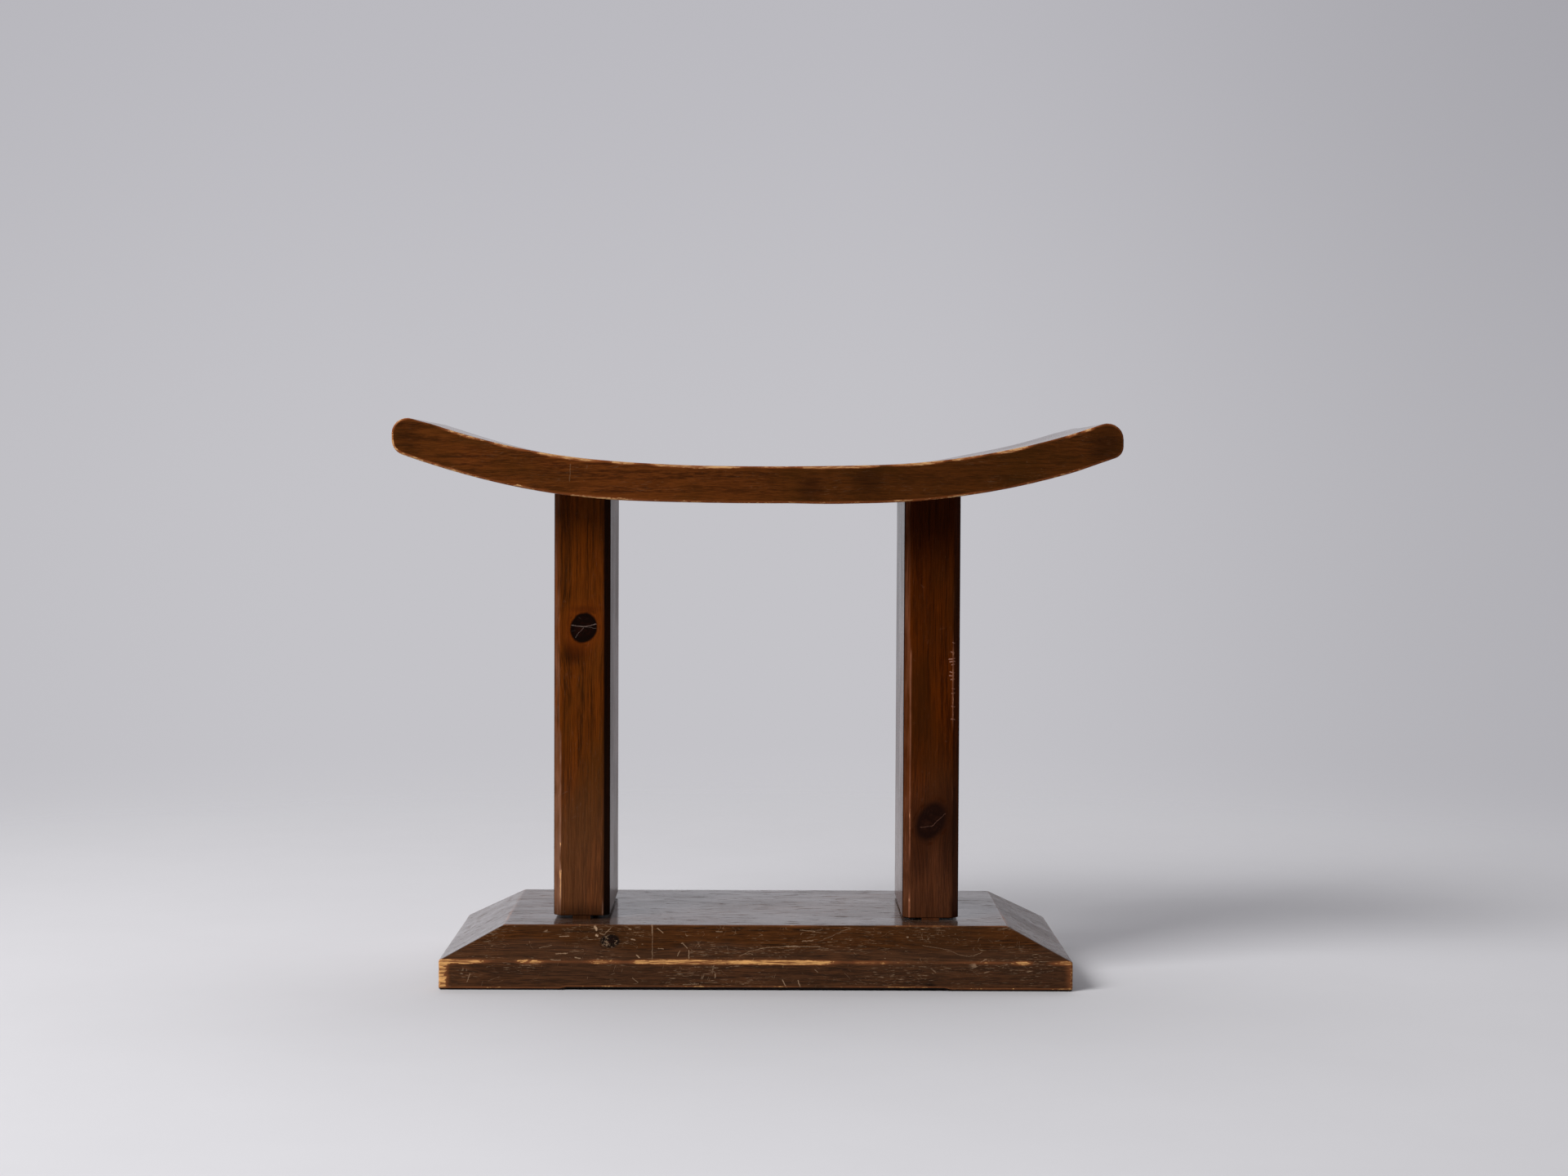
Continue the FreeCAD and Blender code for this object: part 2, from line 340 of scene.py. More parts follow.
class Effects:
    """The effects that the finishes share, each a node group that is built once.

    Every position is in millimetres. Where an effect follows the fibres, the
    position comes with the fibres' axis first.
    """

    VECTORS = frozenset({"Position", "Facing", "Centre", "Size", "Flow", "Start", "End", "Place"})
    SEED_SHIFT = (311.0, 97.0, 53.0)
    DASH_SHIFT = (170.0, 31.0, 73.0)
    FIBRE_SWAY = (0.0, 13.0, 11.0)
    SCRATCH_TURNS = (((0.0, 0.35, 0.03), 11.0), ((0.0, -0.7, -0.02), 47.0), ((0.0, 1.3, 0.01), 83.0))

    def __init__(self) -> None:
        """Build all the groups."""
        self.grain = self.build_grain()
        self.knot = self.build_knot()
        self.wear = self.build_wear()
        self.scratches = self.build_scratches()
        self.score = self.build_score()
        self.hand = self.build_hand()
        self.dust = self.build_dust()
        self.gloss = self.build_gloss()

    def start(
        self, name: str, inputs: Sequence[str], outputs: Sequence[str]
    ) -> tuple[Tree, NodeBench, Outputs, bpy.types.NodeInputs]:
        """Begin a group with its sockets, numbers unless they are named among the vectors.

        Args:
            name: The group's name.
            inputs: The names of its inputs.
            outputs: The names of its outputs.

        Returns:
            The group, its bench, the sockets that come in and the sockets that go out.
        """
        group = bpy.data.node_groups.new(name, "ShaderNodeTree")
        for way, labels in (("INPUT", inputs), ("OUTPUT", outputs)):
            for label in labels:
                kind = "NodeSocketVector" if label in self.VECTORS else "NodeSocketFloat"
                group.interface.new_socket(name=label, in_out=way, socket_type=kind)
        bench = NodeBench(group)
        return group, bench, bench.put("NodeGroupInput").outputs, bench.put("NodeGroupOutput").inputs

    def build_grain(self) -> Tree:
        """Build the grain of plain sawn pine.

        Returns:
            A group that gives streaks, broad bands, dark flecks, pale dashes and stain blotches.
        """
        outputs = ("Streaks", "Bands", "Flecks", "Dashes", "Blotches")
        group, bench, given, made = self.start("Pine grain", ("Position", "Seed", "Shortness"), outputs)
        shift = bench.vector("SCALE", self.SEED_SHIFT, given["Seed"])
        place = bench.vector("ADD", given["Position"], shift)
        drift = bench.swing(place, (0.004, 0.018, 0.018), 2.0)
        wavy = bench.vector("ADD", place, bench.vector("SCALE", self.FIBRE_SWAY, drift))
        short = bench.vector("MULTIPLY", wavy, bench.joined(given["Shortness"], 1.0, 1.0))
        broad = bench.cloud(short, (0.018, 0.55, 0.55), 5.0, 0.68)
        fine = bench.cloud(short, (0.06, 1.9, 1.9), 3.0, 0.6)
        streaks = bench.plus(fine, 0.5, bench.times(broad, 0.5))
        bands = bench.cloud(wavy, (0.0026, 0.24, 0.24), 2.0)
        flecks = bench.cloud(short, (0.04, 2.4, 2.4), 3.0)
        dashes = bench.cloud(bench.vector("ADD", wavy, self.DASH_SHIFT), (0.16, 2.1, 2.1), 3.0)
        grouped = bench.fade(bench.cloud(place, (0.025, 0.07, 0.07), 2.0), 0.44, 0.62)
        blotches = bench.cloud(place, (0.011, 0.026, 0.026), 3.0)
        bench.feed(made["Streaks"], bench.fade(streaks, 0.42, 0.58))
        bench.feed(made["Bands"], bench.fade(bands, 0.36, 0.66))
        bench.feed(made["Flecks"], bench.fade(flecks, 0.60, 0.70))
        bench.feed(made["Dashes"], bench.times(bench.fade(dashes, 0.58, 0.72), grouped))
        bench.feed(made["Blotches"], bench.fade(blotches, 0.40, 0.68))
        return group

    def build_knot(self) -> Tree:
        """Build a knot and the way the fibres part around it.

        Returns:
            A group that gives the knot's core, heart, flakes, rim and halo, and the fibres' shift.
        """
        inputs = ("Position", "Centre", "Size", "Lean", "Softness")
        outputs = ("Core", "Heart", "Flakes", "Rim", "Halo", "Flow")
        group, bench, given, made = self.start("Knot", inputs, outputs)
        place = given["Position"]
        local = bench.vector("SUBTRACT", place, given["Centre"])
        upright = bench.put("ShaderNodeVectorRotate", rotation_type="Y_AXIS")
        bench.feed_all(upright, Vector=local, Angle=bench.times(given["Lean"], -1.0))
        unit = bench.vector("DIVIDE", upright.outputs[0], given["Size"])
        reach = bench.plus(bench.swing(place, (0.2, 0.2, 0.2), 3.0), 0.14, bench.vector("LENGTH", unit))
        past = bench.math("DIVIDE", bench.math("SUBTRACT", reach, 1.0), given["Softness"])
        core = bench.fade(past, -1.0, 1.0, 1.0, 0.0)
        wrinkles = bench.fade(bench.cloud(unit, (1.6, 0.0, 3.4), 4.0, 0.65), 0.42, 0.66)
        loose = bench.fade(bench.cloud(place, (0.3, 0.3, 0.4), 4.0, 0.75), 0.55, 0.63)
        ring = bench.math("ABSOLUTE", bench.math("SUBTRACT", reach, 1.2))
        broken = bench.fade(bench.cloud(place, (0.1, 0.1, 0.1), 2.0), 0.42, 0.6)
        parting = bench.math("EXPONENT", bench.times(bench.times(reach, reach), -0.5))
        bench.feed(made["Core"], core)
        bench.feed(made["Heart"], bench.times(bench.fade(reach, 0.35, 0.95, 1.0, 0.0), wrinkles))
        bench.feed(made["Flakes"], bench.times(core, loose))
        bench.feed(made["Rim"], bench.times(bench.fade(ring, 0.02, 0.14, 1.0, 0.0), broken))
        bench.feed(made["Halo"], bench.fade(reach, 0.95, 2.4, 1.0, 0.0))
        bench.feed(made["Flow"], bench.vector("SCALE", local, bench.times(parting, -0.35)))
        return group

    def build_wear(self) -> Tree:
        """Build the ragged edge of a finish that is rubbed off.

        Returns:
            A group that gives where the wood is bare, where the finish is only thin, and painted shade
            where the rubbing is below zero.
        """
        group, bench, given, made = self.start("Worn edge", ("Position", "Rub"), ("Bare", "Thin", "Grime"))
        place, rub = given["Position"], given["Rub"]
        coarse = bench.swing(place, (0.05, 0.25, 0.25), 3.0)
        fine = bench.swing(place, (0.2, 0.8, 0.8), 4.0, 0.65)
        strands = bench.swing(place, (0.025, 0.9, 0.9), 4.0, 0.6)
        level = bench.plus(fine, 0.8, bench.plus(coarse, 0.4, rub))
        faded = bench.plus(strands, 0.3, bench.plus(coarse, 0.15, rub))
        fringe = bench.math("SUBTRACT", level, 0.12)
        bench.feed(made["Bare"], bench.fade(level, 0.62, 0.67))
        bench.feed(made["Thin"], bench.fade(bench.math("MAXIMUM", faded, fringe), 0.30, 0.66))
        # Painted shade: where the rubbing is below zero, the colour is darkened towards the shade tone.
        bench.feed(made["Grime"], bench.fade(rub, -0.8, 0.0, 0.85, 0.0))
        return group

    def build_scratches(self) -> Tree:
        """Build fine scratches and small dings in no one direction.

        Returns:
            A group that gives the masks of the lines and of the dings.
        """
        group, bench, given, made = self.start("Scratches", ("Position",), ("Lines", "Dings"))
        place = given["Position"]
        found: Feed = 0.0
        for turn, shift in self.SCRATCH_TURNS:
            rotate = bench.put("ShaderNodeVectorRotate", rotation_type="EULER_XYZ")
            bench.feed_all(rotate, Vector=place, Rotation=turn)
            strand = bench.math("ABSOLUTE", bench.swing(rotate.outputs[0], (0.006, 0.3, 0.3), 0.0))
            line = bench.fade(strand, 0.003, 0.014, 1.0, 0.0)
            moved = bench.vector("ADD", place, (shift, shift, shift))
            gate = bench.fade(bench.cloud(moved, (0.11, 0.11, 0.11), 3.0), 0.60, 0.70)
            found = bench.math("MAXIMUM", found, bench.times(line, gate))
        spots = bench.put("ShaderNodeTexVoronoi")
        bench.feed_all(spots, Vector=bench.vector("MULTIPLY", place, (0.05, 0.09, 0.09)), Scale=1.0)
        shade = bench.feed_all(bench.put("ShaderNodeSeparateColor"), Color=spots.outputs["Color"])
        near = bench.fade(spots.outputs["Distance"], 0.012, 0.05, 1.0, 0.0)
        bench.feed(made["Lines"], found)
        bench.feed(made["Dings"], bench.times(near, bench.fade(shade.outputs[0], 0.55, 0.6)))
        return group

    def build_score(self) -> Tree:
        """Build one scored line between two points of a front.

        Returns:
            A group that gives the line's mask.
        """
        inputs = ("Position", "Start", "End", "Width", "Grit")
        group, bench, given, made = self.start("Scored line", inputs, ("Line",))
        along = bench.vector("SUBTRACT", given["End"], given["Start"])
        away = bench.vector("SUBTRACT", given["Position"], given["Start"])
        square = bench.vector("DOT_PRODUCT", along, along)
        share = bench.math("DIVIDE", bench.vector("DOT_PRODUCT", away, along), square)
        held = bench.math("MINIMUM", bench.math("MAXIMUM", share, 0.0), 1.0)
        gap = bench.vector("DISTANCE", away, bench.vector("SCALE", along, held))
        part = bench.math("ADD", bench.math("DIVIDE", gap, given["Width"]), given["Grit"])
        bench.feed(made["Line"], bench.fade(part, 0.3, 0.6, 1.0, 0.0))
        return group

    def build_hand(self) -> Tree:
        """Build the unsteady hand that scored lines follow on a piece's front.

        Returns:
            A group that gives the place, with its depth from the front, and the grit of a broken line.
        """
        group, bench, given, made = self.start("Unsteady front", ("Position", "Front"), ("Place", "Grit"))
        parts = bench.parts(given["Position"])
        level = bench.vector("MULTIPLY", given["Position"], (1.0, 0.0, 1.0))
        slow = bench.swing(level, (0.2, 0.2, 0.2), 3.0)
        quick = bench.swing(level, (0.9, 0.9, 0.9), 2.0)
        sway = bench.plus(slow, 1.6, bench.times(quick, 0.7))
        behind = bench.math("MAXIMUM", bench.math("SUBTRACT", parts["Y"], given["Front"]), 0.0)
        along, up = bench.math("ADD", parts["X"], sway), bench.math("SUBTRACT", parts["Z"], sway)
        bench.feed(made["Place"], bench.joined(along, behind, up))
        bench.feed(made["Grit"], bench.times(bench.swing(level, (1.9, 1.9, 1.9), 3.0, 0.7), 2.2))
        return group

    def build_dust(self) -> Tree:
        """Build the thin film of dust on surfaces that face up.

        Returns:
            A group that gives how much of it lies there.
        """
        group, bench, given, made = self.start("Dust", ("Position", "Facing"), ("Film",))
        lying = bench.fade(bench.parts(given["Facing"])["Z"], 0.7, 0.95)
        drift = bench.cloud(given["Position"], (0.03, 0.05, 0.05), 4.0, 0.6)
        bench.feed(made["Film"], bench.times(lying, bench.fade(drift, 0.3, 0.7, 0.5, 1.0)))
        return group

    def build_gloss(self) -> Tree:
        """Build the gloss that is left on faces other than the handled front and back.

        Returns:
            A group that gives how much of it is left, where it is dull and the dark scuffs in it.
        """
        outputs = ("Gloss", "Dull", "Scuffs")
        group, bench, given, made = self.start("Kept gloss", ("Position", "Facing"), outputs)
        parts = bench.parts(given["Facing"])
        handled = bench.fade(bench.math("ABSOLUTE", parts["Y"]), 0.15, 0.55, 1.0, 0.0)
        drift = bench.cloud(given["Position"], (0.012, 0.035, 0.035), 4.0)
        scuffs = bench.cloud(given["Position"], (0.05, 0.3, 0.3), 5.0, 0.72)
        bench.feed(made["Gloss"], bench.times(handled, bench.fade(drift, 0.32, 0.68, 0.62, 1.0)))
        bench.feed(made["Dull"], bench.fade(bench.times(parts["X"], parts["Z"]), 0.1, 0.35))
        bench.feed(made["Scuffs"], bench.times(handled, bench.fade(scuffs, 0.53, 0.66)))
        return group


@dataclass(frozen=True)
class Knot:
    """A knot: its centre on the face and half sizes in millimetres, its lean to the right and its looks."""

    centre: Point
    size: Point
    lean: float = 0.0
    softness: float = 0.09
    halo: float = 0.3
    flakes: float = 0.0
    heart: float = 0.5
    rim: float = 0.6


@dataclass(frozen=True)
class Smudge:
    """A soft dark patch: its centre and half sizes in millimetres and its strength. Some are dark marks in
    the wood, some are painted shade.
    """

    centre: Point
    size: Point
    share: float
    softness: float = 0.75


@dataclass(frozen=True)
class ScratchPath:
    """A scratch over some points of a front, each given along and up in millimetres."""

    points: tuple[Spot, ...]
    width: float = 0.45
    strength: float = 0.5


@dataclass(frozen=True)
class StainShift:
    """A change of tone along the fibres, in millimetres."""

    tone: Colour
    start: float
    end: float
    share: float


@dataclass(frozen=True)
class Haze:
    """A band of dulled lacquer below a wavering height, in millimetres."""

    tone: Colour
    height: float
    share: float
    softness: float = 3.0
    waver: float = 26.0


@dataclass(frozen=True)
class Layers:
    """What one finish reads from the shared effects over its piece."""

    place: Socket
    fibres: Socket
    grain: Outputs
    wear: Outputs
    gloss: Outputs
    dust: Socket
    marks: Socket
    knots: tuple[Outputs, ...]
    smudges: tuple[Socket, ...]


@dataclass(frozen=True)
class StainedPine:
    """Stained and lacquered pine, rubbed bare along its edges.

    The stain runs from the deep streaks through the body to the glow of the
    bands. It is thin where it is rubbed, and bare is the wood's own tone. The
    words in -ing and the dust say how strongly an effect shows, and the front
    is the place through the depth, in millimetres, up to which scores reach.
    """

    name: str
    run: GrainRun
    seed: float
    deep: Colour
    body: Colour
    glow: Colour
    blotch: Colour
    thin: Colour
    bare: Colour
    knot_tone: Colour = tone(20, 7, 4)
    heart_tone: Colour = tone(52, 22, 11)
    halo_tone: Colour = tone(128, 56, 12)
    scratch_tone: Colour = tone(160, 124, 92)
    dust_tone: Colour = tone(158, 150, 146)
    # The near black of painted shade.
    grime_tone: Colour = tone(14, 9, 6)
    knots: tuple[Knot, ...] = ()
    smudges: tuple[Smudge, ...] = ()
    scratches: tuple[ScratchPath, ...] = ()
    front: float = -60.0
    shift: StainShift | None = None
    haze: Haze | None = None
    shortness: float = 1.0
    banding: float = 0.4
    blotching: float = 0.6
    flecking: float = 0.5
    dashing: float = 0.15
    scratching: float = 0.3
    scuffing: float = 0.3
    dulling: float = 1.0
    dust: float = 0.12
    gloss_rough: float = 0.12
    kept_gloss: float = 0.4
    dull_gloss: float = 0.4
    lacquer_index: float = 1.1
    relief: float = 0.25
    relief_depth: float = 0.2 * MM

    def material(self, effects: Effects) -> bpy.types.Material:
        """Build the finish as a material.

        Args:
            effects: The shared node groups.

        Returns:
            The material.
        """
        material = bpy.data.materials.new(self.name)
        bench = NodeBench.cleared(material)
        shader = bench.put("ShaderNodeBsdfPrincipled")
        bench.feed_all(bench.put("ShaderNodeOutputMaterial"), Surface=shader.outputs[0])
        layers = self.layers(bench, effects)
        bench.feed(shader.inputs["Base Color"], self.colour(bench, layers))
        bench.feed(shader.inputs["IOR"], self.lacquer_index)
        self.lacquer(bench, shader, layers)
        return material

    def layers(self, bench: NodeBench, effects: Effects) -> Layers:
        """Place the shared effects with this finish's own values.

        Args:
            bench: The material's bench.
            effects: The shared node groups.

        Returns:
            What they give.
        """
        place = bench.vector("SCALE", bench.put("ShaderNodeTexCoord").outputs["Object"], 1.0 / MM)
        patch = partial(bench.effect, effects.knot, Position=place)
        knots = tuple(
            patch(Centre=knot.centre, Size=knot.size, Lean=math.radians(knot.lean), Softness=knot.softness)
            for knot in self.knots
        )
        smudges = tuple(
            bench.times(
                patch(Centre=smudge.centre, Size=smudge.size, Lean=0.0, Softness=smudge.softness)["Core"],
                smudge.share,
            )
            for smudge in self.smudges
        )
        parted = place
        for knot in knots:
            parted = bench.vector("ADD", parted, knot["Flow"])
        parts = bench.parts(parted)
        fibres = bench.joined(*(parts[axis] for axis in self.run.value))
        facing = bench.put("ShaderNodeNewGeometry").outputs["Normal"]
        # The attribute holds the rubbing and, below zero, painted shade.
        rub = bench.put("ShaderNodeAttribute", attribute_name=RUB).outputs["Fac"]
        film = bench.effect(effects.dust, Position=place, Facing=facing)["Film"]
        return Layers(
            place=place,
            fibres=fibres,
            grain=bench.effect(effects.grain, Position=fibres, Seed=self.seed, Shortness=self.shortness),
            wear=bench.effect(effects.wear, Position=fibres, Rub=rub),
            gloss=bench.effect(effects.gloss, Position=fibres, Facing=facing),
            dust=bench.times(film, self.dust),
            marks=self.marks(bench, effects, place),
            knots=knots,
            smudges=smudges,
        )

    def marks(self, bench: NodeBench, effects: Effects, place: Socket) -> Socket:
        """Gather the finish's scratches and dings.

        Args:
            bench: The material's bench.
            effects: The shared node groups.
            place: The position in the stool's own axes.

        Returns:
            The socket of their mask.
        """
        chance = bench.effect(effects.scratches, Position=place)
        marks = bench.times(bench.math("MAXIMUM", chance["Lines"], chance["Dings"]), self.scratching)
        front = bench.effect(effects.hand, Position=place, Front=self.front)
        score = partial(bench.effect, effects.score, Position=front["Place"], Grit=front["Grit"])
        for path in self.scratches:
            for (x, z), (end_x, end_z) in zip(path.points, path.points[1:]):
                line = score(Start=(x, 0.0, z), End=(end_x, 0.0, end_z), Width=path.width)["Line"]
                marks = bench.math("MAXIMUM", marks, bench.times(line, path.strength))
        return marks

    def stained(self, bench: NodeBench, layers: Layers) -> Socket:
        """Colour the stained grain and any tone shift, without knots, marks or wear.

        Args:
            bench: The material's bench.
            layers: What the finish reads over its piece.

        Returns:
            The colour's socket.
        """
        grain = layers.grain
        colour = bench.tint(grain["Streaks"], self.deep, self.body)
        colour = bench.tint(bench.times(grain["Bands"], self.banding), colour, self.glow)
        colour = bench.tint(bench.times(grain["Blotches"], self.blotching), colour, self.blotch)
        # A tone shift along the fibres: on the right leg it is painted shade, darkening the head under the
        # seat.
        if self.shift:
            along = bench.parts(layers.fibres)["X"]
            share = bench.fade(along, self.shift.start, self.shift.end, 0.0, self.shift.share)
            colour = bench.tint(share, colour, self.shift.tone)
        if self.haze:
            waver = bench.swing(layers.place, (0.016, 0.016, 0.016), 3.0)
            level = bench.plus(waver, self.haze.waver, bench.parts(layers.place)["Z"])
            low, high = self.haze.height - self.haze.softness, self.haze.height + self.haze.softness
            share = bench.fade(level, low, high, self.haze.share, 0.0)
            colour = bench.tint(share, colour, self.haze.tone)
            between = bench.math("SUBTRACT", 1.0, grain["Streaks"])
            colour = bench.tint(bench.times(between, share), colour, self.deep)
        colour = bench.tint(bench.times(grain["Flecks"], self.flecking), colour, self.deep, "MULTIPLY")
        return bench.tint(bench.times(grain["Dashes"], self.dashing), colour, self.scratch_tone)

    def colour(self, bench: NodeBench, layers: Layers) -> Socket:
        """Colour the whole surface.

        Args:
            bench: The material's bench.
            layers: What the finish reads over its piece.

        Returns:
            The colour's socket.
        """
        colour = self.stained(bench, layers)
        # Dark patches take the knot's colour; some of them are painted shade.
        for patch in layers.smudges:
            colour = bench.tint(patch, colour, self.knot_tone)
        for knot, shape in zip(layers.knots, self.knots):
            colour = bench.tint(bench.times(knot["Halo"], shape.halo), colour, self.halo_tone)
            colour = bench.tint(bench.times(knot["Rim"], shape.rim), colour, self.deep)
            heart = bench.tint(bench.times(knot["Heart"], shape.heart), self.knot_tone, self.heart_tone)
            colour = bench.tint(knot["Core"], colour, heart)
            if shape.flakes:
                colour = bench.tint(bench.times(knot["Flakes"], shape.flakes), colour, self.scratch_tone)
        colour = bench.tint(layers.marks, colour, self.scratch_tone)
        colour = bench.tint(layers.dust, colour, self.dust_tone)
        colour = bench.tint(layers.wear["Thin"], colour, self.thin)
        wood = bench.tint(layers.grain["Streaks"], self.thin, self.bare)
        colour = bench.tint(layers.wear["Bare"], colour, wood)
        # Painted shade darkens where the rubbing is below zero.
        return bench.tint(layers.wear["Grime"], colour, self.grime_tone)

    def lacquer(self, bench: NodeBench, shader: bpy.types.Node, layers: Layers) -> None:
        """Set the gloss, the roughness and the relief of the surface.

        Args:
            bench: The material's bench.
            shader: The material's shader.
            layers: What the finish reads over its piece.
        """
        grain, bare, marks = layers.grain, layers.wear["Bare"], layers.marks
        scuffs = bench.times(layers.gloss["Scuffs"], self.scuffing)
        dull = bench.times(layers.gloss["Dull"], self.dulling)
        # The coat is lost under the dark patches, painted shade among them.
        grimed: Feed = 0.0
        for patch in layers.smudges:
            grimed = bench.math("MAXIMUM", grimed, patch)
        lost = bench.math("ADD", bench.math("ADD", scuffs, grimed), bare)
        kept = bench.fade(lost, 0.0, 1.0, self.kept_gloss, 0.0)
        kept = bench.times(kept, bench.fade(dull, 0.0, 1.0, 1.0, self.dull_gloss))
        bench.feed(shader.inputs["Coat Weight"], bench.times(layers.gloss["Gloss"], kept))
        bench.feed(shader.inputs["Coat Roughness"], self.gloss_rough)

        rough: Feed = self.gloss_rough
        roughening = ((grain["Blotches"], 0.08), (scuffs, 0.3), (dull, 0.14), (grain["Flecks"], 0.4))
        for layer, share in (*roughening, (marks, 0.25), (bare, 0.45)):
            rough = bench.plus(layer, share, rough)
        bench.feed(shader.inputs["Roughness"], rough)

        height = bench.times(grain["Flecks"], -0.5)
        for layer, share in ((grain["Streaks"], 0.35), (marks, -0.6), (bare, -0.8)):
            height = bench.plus(layer, share, height)
        bump = bench.put("ShaderNodeBump")
        bench.feed_all(bump, Strength=self.relief, Distance=self.relief_depth, Height=height)
        bench.feed(shader.inputs["Normal"], bump.outputs[0])


@dataclass
class Skin:
    """The points and faces of one piece in millimetres, with how far each point is rubbed, which below zero
    is painted shade.
    """

    points: list[Point] = field(default_factory=list)
    rubs: list[float] = field(default_factory=list)
    faces: list[Cell] = field(default_factory=list)

    def add(self, place: Point, rub: float = 0.0) -> int:
        """Add a point.

        Args:
            place: Where it is.
            rub: How far the finish is rubbed there, from 0 to 1, or below zero how much shade is painted
                there.

        Returns:
            The point's number.
        """
        self.points.append(place)
        self.rubs.append(rub)
        return len(self.points) - 1

    def middle(self, cell: Cell) -> Spot:
        """Give the middle of a four sided cell along and through the depth."""
        corners = [self.points[number] for number in cell]
        return sum(point[0] for point in corners) / 4, sum(point[1] for point in corners) / 4

    def band(self, lower: Sequence[int], upper: Sequence[int], closed: bool = True) -> None:
        """Join two rows of points by faces.

        Args:
            lower: One row.
            upper: The next row, as long as the first.
            closed: Whether the rows run round to their start.
        """
        count = len(lower)
        for here in range(count if closed else count - 1):
            after = (here + 1) % count
            self.faces.append((lower[here], lower[after], upper[after], upper[here]))

    def stack(self, rings: Sequence["Ring"]) -> None:
        """Join rings by faces, each to the next one up."""
        for lower, upper in zip(rings, rings[1:]):
            self.band(lower.around(), upper.around())

    def extrude(self, cells: Sequence[Cell], lift: Callable[[Point], Point]) -> list[Cell]:
        """Wall the outer edges of some cells over to where the cells are moved.

        Args:
            cells: Cells that all turn the same way.
            lift: Where a point of theirs goes.

        Returns:
            The moved cells, which are not yet faces.
        """
        edges: dict[tuple[int, int], None] = {}
        for cell in cells:
            for start, end in zip(cell, cell[1:] + cell[:1]):
                if (end, start) in edges:
                    del edges[(end, start)]
                else:
                    edges[(start, end)] = None
        moved: dict[int, int] = {}
        for number in dict.fromkeys(number for cell in cells for number in cell):
            moved[number] = self.add(lift(self.points[number]))
        for start, end in edges:
            self.faces.append((start, end, moved[end], moved[start]))
        return [tuple(moved[number] for number in cell) for cell in cells]

    def piece(self, name: str, material: bpy.types.Material) -> bpy.types.Object:
        """Make the piece's object.

        Args:
            name: The object's name.
            material: Its finish.

        Returns:
            The object, linked into the scene.
        """
        mesh = bpy.data.meshes.new(name)
        mesh.from_pydata([Vector(point) * MM for point in self.points], [], self.faces)
        mesh.attributes.new(RUB, "FLOAT", "POINT").data.foreach_set("value", self.rubs)
        shape = bmesh.new()
        shape.from_mesh(mesh)
        bmesh.ops.remove_doubles(shape, verts=shape.verts, dist=WELD)
        bmesh.ops.recalc_face_normals(shape, faces=shape.faces)
        for face in shape.faces:
            face.smooth = True
        shape.to_mesh(mesh)
        shape.free()
        mesh.set_sharp_from_angle(angle=SHARP)
        mesh.materials.append(material)
        return in_scene(name, mesh)


@dataclass(frozen=True)
class Stretch:
    """A stretch of an edge where the finish is rubbed off, in millimetres along the edge."""

    start: float
    end: float
    strength: float = 1.0
    longest_taper: float = 14.0
    taper_share: float = 0.4
    end_share: float = 0.55
    taper_rise: float = 0.45

    def at(self, place: float) -> float:
        """Give the rubbing at a place, which tapers off at the stretch's ends.

        Args:
            place: Where along the edge.

        Returns:
            The rubbing there, from 0 to 1.
        """
        taper = min(self.longest_taper, self.taper_share * (self.end - self.start))
        inside = min(place - self.start, self.end - place) / taper
        return self.strength * min(max(self.end_share + self.taper_rise * inside, 0.0), 1.0)


def rubbed(stretches: Sequence[Stretch], place: float, least: float) -> float:
    """Read how far an edge is rubbed.

    Args:
        stretches: The edge's worn stretches.
        place: Where along the edge.
        least: The rubbing between the stretches.

    Returns:
        The rubbing there, from 0 to 1.
    """
    uneven = sum(swing * ragged(place, row, 0.0, scale) for swing, row, scale in RUB_SWINGS)
    worn = [stretch.at(place) for stretch in stretches]
    return max([least, *(rub + uneven * (rub > RAGGED_FROM) for rub in worn)])


@dataclass(frozen=True)
class Chipping:
    """How an edge is chipped: from which rubbing, how deep and how closely, in millimetres."""

    least: float
    depth: float
    scale: float

    def at(self, rub: float, x: float, y: float, z: float) -> float:
        """Give how deep the chip at a place is."""
        return max(0.0, rub - self.least) * self.depth * (0.5 + 0.5 * ragged(x, y, z, self.scale))


@dataclass
class Ring:
    """One level of a block: its point numbers round the outside, from the front left corner."""

    front: list[int]
    right: list[int]
    back: list[int]
    left: list[int]
    corners: list[list[int]]

    def around(self) -> list[int]:
        """Give all the points in order round the block."""
        runs = (self.front, self.right, self.back, self.left)
        return [number for run, corner in zip(runs, self.corners) for number in run + corner]


